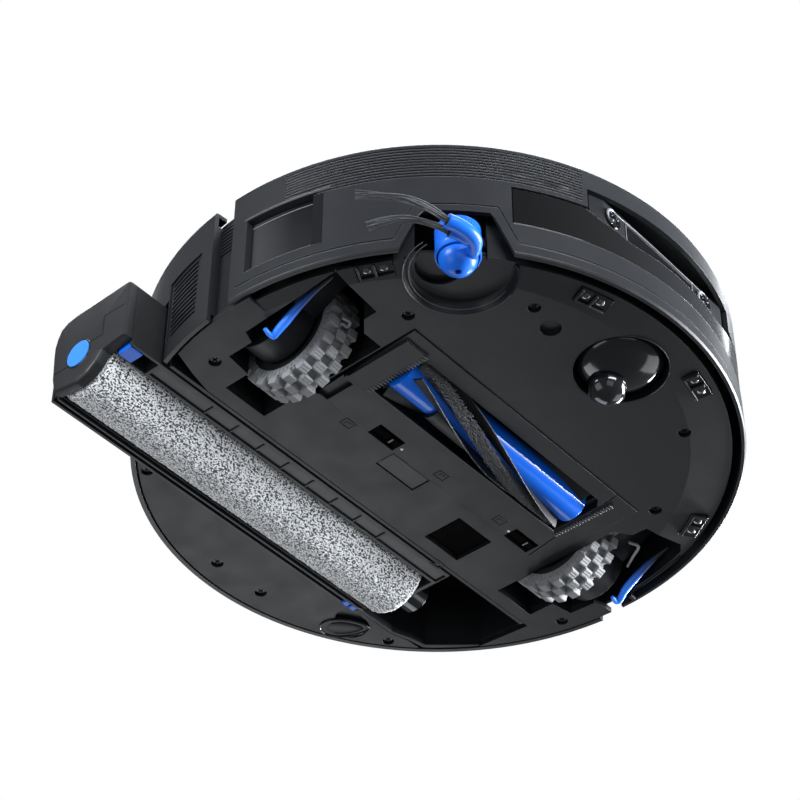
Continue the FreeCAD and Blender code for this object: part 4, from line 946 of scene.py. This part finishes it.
def window_look():
    """The side window: a panel with a painted reflection that darkens towards the front, its painted
    highlight line, and the gap at its front edge.
    """
    low, high = span("side_window")
    radius = WINDOW_REACH
    first, last = WINDOW_ANGLES
    panel = Build()
    corners = [(radius - 1.6, low.z), (radius, low.z + 0.2), (radius, high.z - 0.2), (radius - 1.6, high.z)]
    panel.loft([[around(first + (last - first) * i / 24, reach, z) for reach, z in corners]
                for i in range(25)])
    panel.piece("window_panel", "bumper", "lens_glass", replaces=["side_window"], finish="window_painted_reflection")
    foot, top = low.z + 0.8, high.z - 3.0
    # the window's frame line is lighter grey: painted highlight
    line = Build()
    corner = 2.6
    route = [(last + (first + 0.9 - last) * i / 20, top) for i in range(21)]
    for i in range(1, 6):
        turn = math.radians(90 * i / 6)
        route.append((first + 0.9 * (1 - math.sin(turn)), top - corner * (1 - math.cos(turn))))
    route += [(first, top - corner - (top - corner - foot) * i / 8) for i in range(9)]
    line.tube([around(theta, radius, z) for theta, z in route], 0.26, sides=6)
    line.piece("window_highlight_line", "bumper", "base_plastic", finish="bright_edge")
    strip = Build()
    strip.tube([around(86.6 - 17.6 * i / 30, LIP_REACH, 72.9) for i in range(31)], 1.15, sides=12)
    strip.piece("window_strip", "bumper", "shell_plastic")
    gap = Build()
    inner, outer = GAP_REACHES
    corners = [(inner, 31.0), (outer, 31.0), (outer, 70.0), (inner, 70.0)]
    gap.loft([[around(70.3 + 1.9 * i / 6, reach, z) for reach, z in corners] for i in range(7)])
    gap.piece("window_gap", "bumper", "gloss_black")


def bumper_look():
    """The rounded lip along the bumper's lower edge, and the glossy panel with its dip below the sensors and
    a painted reflection.
    """
    lip = Build()
    route = []
    for (theta, z), (next_theta, next_z) in zip(LIP_CORNERS, LIP_CORNERS[1:]):
        steps = max(3, int(abs(theta - next_theta) / 2))
        route += [(theta + (next_theta - theta) * i / steps, z + (next_z - z) * i / steps)
                  for i in range(steps)]
    lip.tube([around(theta, LIP_REACH, z) for theta, z in route + [LIP_CORNERS[-1]]], 0.85, sides=10)
    lip.piece("bumper_lip", "bumper", "shell_plastic", crease=60)

    low = span("bumper_band")[0]
    radius = -low.y - 0.2
    foot = low.z + 0.2

    def edge_height(theta):
        for (a, low_z), (b, high_z) in zip(BAND_EDGE, BAND_EDGE[1:]):
            if theta <= b:
                return low_z + (high_z - low_z) * (theta - a) / (b - a)
        return BAND_EDGE[-1][1]

    panel = Build()
    rings = []
    for i in range(97):
        theta = -BAND_HALF_ANGLE + 2 * BAND_HALF_ANGLE * i / 96
        top = edge_height(abs(theta))
        inner = min(SILL_REACH / math.cos(math.radians(theta)), 174.6)
        shelf = max(top, SILL_LEVEL)
        rings.append([around(theta, reach, z) for reach, z in (
            (radius - 0.4, foot), (radius, foot + 0.4), (radius, top - 0.4), (radius - 0.4, top),
            (inner, shelf), (inner - 0.7, shelf), (173.9, top - 2.6), (173.9, foot))])
    panel.loft(rings)
    panel.piece("band_panel", "bumper", "gloss_black", replaces=["bumper_band"], finish="panel_painted_reflection",
                crease=30)


def sensor_look():
    """The lenses' rings with painted highlight crescents and dots, their glass, and fine painted highlight
    lines over and beside the sensor window.
    """
    low, high = span("camera_lenses")
    rings = Build()
    glass = Build()
    painted_glints = Build()
    for x, z in ((low.x + 6, low.z + 6), (high.x - 6, high.z - 6)):
        section = [(4.7, 0.4), (5.4, -0.5), (6.1, -0.6), (6.4, 0.2), (6.1, 0.9), (4.7, 0.9)]
        rings.lathe(section, (x, low.y, z), (0, 1, 0), 72)
        dome = [(0.05, 0.5), (1.6, 0.75), (2.8, 1.5), (3.1, 1.9), (0.05, 1.9)]
        glass.lathe(dome, (x, low.y, z), (0, 1, 0), 48)
        # painted glints: a bright crescent round each lens ring and a bright dot on its glass
        turns = [math.radians(70 + 150 * i / 24) for i in range(25)]
        painted_glints.tube([(x + 5.6 * math.cos(t), low.y - 0.7, z + 5.6 * math.sin(t)) for t in turns],
                   eased([0.15, 0.7, 0.9, 0.7, 0.15], 25), sides=8, side_hint=(0, 1, 0))
        dot = [(0.05, -0.1), (0.5, 0.0), (0.7, 0.4), (0.05, 0.5)]
        painted_glints.lathe(dot, (x + 1.4, low.y + 0.6, z + 1.2), (0, 1, 0), 16)
    rings.piece("lens_rings", "chassis", "steel", finish="gloss_black")
    glass.piece("lens_domes", "chassis", "lens_glass")
    painted_glints.piece("lens_painted_glints", "chassis", "steel", finish="bright_edge")
    # painted highlight: thin light lines along the sensor window's edges
    lines = Build()
    front = -164.6
    over = [(-50.3, 78.6), (-31.2, 80.4), (-11.8, 81.0), (12.3, 81.0), (30.9, 80.8), (43.2, 80.0)]
    lines.tube(smooth_route([(x, front, z) for x, z in over], 6), 0.34, sides=6, side_hint=(0, 1, 0))
    pane_low, pane_high = span("sensor_glass")
    for x in (pane_low.x + 1.2, pane_high.x + 1.0):
        lines.tube([(x, front, pane_low.z), (x, front, pane_high.z + 2.4)], 0.3, sides=6, side_hint=(1, 0, 0))
    lines.piece("sensor_highlight_lines", "chassis", "base_plastic", finish="bright_edge")


# -------- underside details

# a plain embossed square with a bar in it, as (x0, y0, x1, y1) from its middle
MARK_LINES = ((-4, -3, 4, -2.4), (-4, 2.4, 4, 3), (-4, -3, -3.4, 3), (3.4, -3, 4, 3), (-1.8, -1.2, 1.8, 1.2))

# the floor sensors' middles and turns
CLIFF_SENSORS = ((-52.6, -151.6, -17), (38.6, -154.5, 12), (-144.2, -78.2, -64), (137.5, -82, 59))
# a window's side wall, middle bar and back bar, as (left, right, near, far) from its middle
SENSOR_BARS = ((-9.6, -8.2, -4.4, 4.4), (-0.7, 0.7, -4.4, 4.4), (-9.6, 9.6, 3.6, 4.6))
DISH_CENTRE = Vector((-113.5, -111.0, 0.0))
PLUG_CENTRE = Vector((78.0, 141.6, 0.0))
PLUG_LONG = Vector((0.657, -0.754, 0))
PLUG_SHORT = Vector((0.754, 0.657, 0))


def cliff_sensor_look():
    """Inside each floor-sensor window: two small lenses and a bar between them, set back in the frame."""
    back = span("cliff_sensors")[0].z
    bars = Build()
    eyes = Build()
    for x, y, angle in CLIFF_SENSORS:
        rotation = Matrix.Rotation(math.radians(angle), 3, "Z")
        middle = Vector((x, y, 0))
        for left, right, near, far in SENSOR_BARS:
            bars.slab(middle + Vector((left, near, back - 1.7)), middle + Vector((right, far, back + 0.1)),
                      0.25, turn=angle, middle=middle)
        for along in (-4.6, 4.6):
            spot = middle + rotation @ Vector((along, -0.4, 0))
            eye = [(0.05, back - 1.1), (1.4, back - 0.9), (2.4, back - 0.2), (2.5, back + 0.1),
                   (0.05, back + 0.1)]
            eyes.lathe(eye, spot, (0, 0, 1), 32)
    bars.piece("sensor_bars", "chassis", "base_plastic")
    eyes.piece("sensor_eyes", "chassis", "lens_glass")


def cover_look():
    """Light bars and dots beside the two latches, and plain embossed squares on the brush cover."""
    low = span("brush_cover")[0]
    for side in ("right", "left"):
        latch_low, latch_high = span("cover_latch_" + side)
        light = Build()
        x = latch_low.x + 13.2
        light.slab((x - 0.45, latch_low.y + 0.2, latch_low.z - 0.35),
                   (x + 0.45, latch_high.y - 0.2, latch_low.z + 0.5), 0.2)
        light.piece("latch_light_" + side, "cover_latch_" + side, "base_plastic", finish="bright_edge")
    dots = Build()
    for x in (-28.2, 68.6):
        dots.lathe([(0.05, low.z + 1.3), (0.8, low.z + 1.35), (1.0, low.z + 1.7), (0.05, low.z + 1.9)],
                   (x, 3.2, 0), (0, 0, 1), 24)
    dots.piece("lock_dots", "brush_cover", "base_plastic", finish="white_mark")
    marks = Build()
    plate = low.z + 1.6
    for x, y in ((4.0, 1.0), (57.5, 1.0)):
        for x0, y0, x1, y1 in MARK_LINES:
            marks.slab((x + x0, y + y0, plate - 0.28), (x + x1, y + y1, plate + 0.3), 0.12)
    marks.piece("cover_marks", "brush_cover", "base_plastic")


def base_look():
    """The base's window, finger tab and marks, and in painted highlight grey the dish's rims, the brush
    mouth's lip and grip strips.
    """
    window = Build()
    window.slab((41.4, 18.4, 16.2), (70.6, 44.6, 16.8), 0.2)
    window.piece("base_window", "chassis", "gloss_black", finish="dull_black")
    tab = Build()
    tab.slab((-27.5, 10.0, 14.35), (3.5, 22.5, 15.7), 0.3)
    tab.piece("finger_tab", "chassis", "base_plastic", finish="mop_plastic")
    marks = Build()
    for x, y in ((-64.0, 12.5), (66.0, 56.0)):
        for x0, y0, x1, y1 in MARK_LINES:
            marks.slab((x + x0, y + y0, 13.75), (x + x1, y + y1, 14.3), 0.12)
    marks.piece("base_marks", "chassis", "base_plastic")
    # the dish's two rims as thin lighter lines: painted highlight
    rims = Build()
    for reach, level in ((30.7, 14.1), (27.4, 15.2)):
        circle = [DISH_CENTRE + Vector((reach * math.cos(a), reach * math.sin(a), level))
                  for a in (math.radians(-20 + 200 * i / 60) for i in range(61))]
        rims.tube(circle, 0.3, sides=6)
    rims.piece("dish_rims", "chassis", "base_plastic", finish="painted_edge_highlight")
    # the mouth's lip and grip strips are lighter grey, as painted highlight
    lip = Build()
    lip.tube([(-82.0, -17.0, 13.2), (0.0, -17.0, 13.2), (86.0, -17.0, 13.2)], 0.5, sides=8)
    for x in (-78.4, 88.2):
        for i in range(20):
            lip.slab((x - 1.7, -58.0 + 2.15 * i, 11.3), (x + 1.7, -56.8 + 2.15 * i, 12.4), 0.2)
    lip.piece("mouth_lip", "brush_cover", "base_plastic", finish="painted_edge_highlight")


def oval(half_long, half_wide, level, count=64):
    """A ring round the drain plug's middle, wider towards one end."""
    ring = []
    for k in range(count):
        t = 2 * math.pi * k / count
        egg = half_wide * math.sin(t) * (1 - 0.28 * math.cos(t))
        flat = PLUG_CENTRE + half_long * math.cos(t) * PLUG_LONG + egg * -PLUG_SHORT
        ring.append(flat + Vector((0, 0, level)))
    return ring


def plug_look():
    """The drain plug's egg-shaped ring, its grooved flap and the disc behind the flap."""
    plug = Build()
    plug.loft([oval(14.6, 7.6, 15.4), oval(14.7, 7.8, 13.4), oval(15.3, 8.5, 12.8), oval(16.0, 9.2, 13.2),
               oval(16.2, 9.4, 15.4), oval(14.6, 7.6, 15.4)], ends=False)
    plug.piece("plug_ring", "chassis", "gloss_black", replaces=["drain_plug"])
    flap = Build()
    flap.loft([oval(14.8, 7.8, 18.0), oval(14.8, 7.8, 13.9), oval(11.4, 6.0, 13.9), oval(11.0, 5.6, 15.6),
               oval(10.6, 5.2, 13.9), oval(9.6, 4.4, 13.4)])
    flap.lathe([(0.05, 16.1), (13.0, 16.1), (13.0, 19.0), (0.05, 19.0)], (77.25, 137.25, 0), (0, 0, 1), 48)
    flap.piece("plug_flap", "chassis", "gloss_black", finish="base_plastic")


def make_pieces():
    """Every piece that Blender adds, in a fixed order."""
    plush_sleeve()
    mop_details()
    end_cap_look()
    for side in ("right", "left"):
        tyre(side)
        climb_lever(side)
    main_brush_rubber()
    side_brush_look()
    window_look()
    bumper_look()
    sensor_look()
    cliff_sensor_look()
    cover_look()
    base_look()
    plug_look()
    caster_look()


make_camera()
make_world()
make_floor()
make_lights()
dress_nodes()
make_pieces()
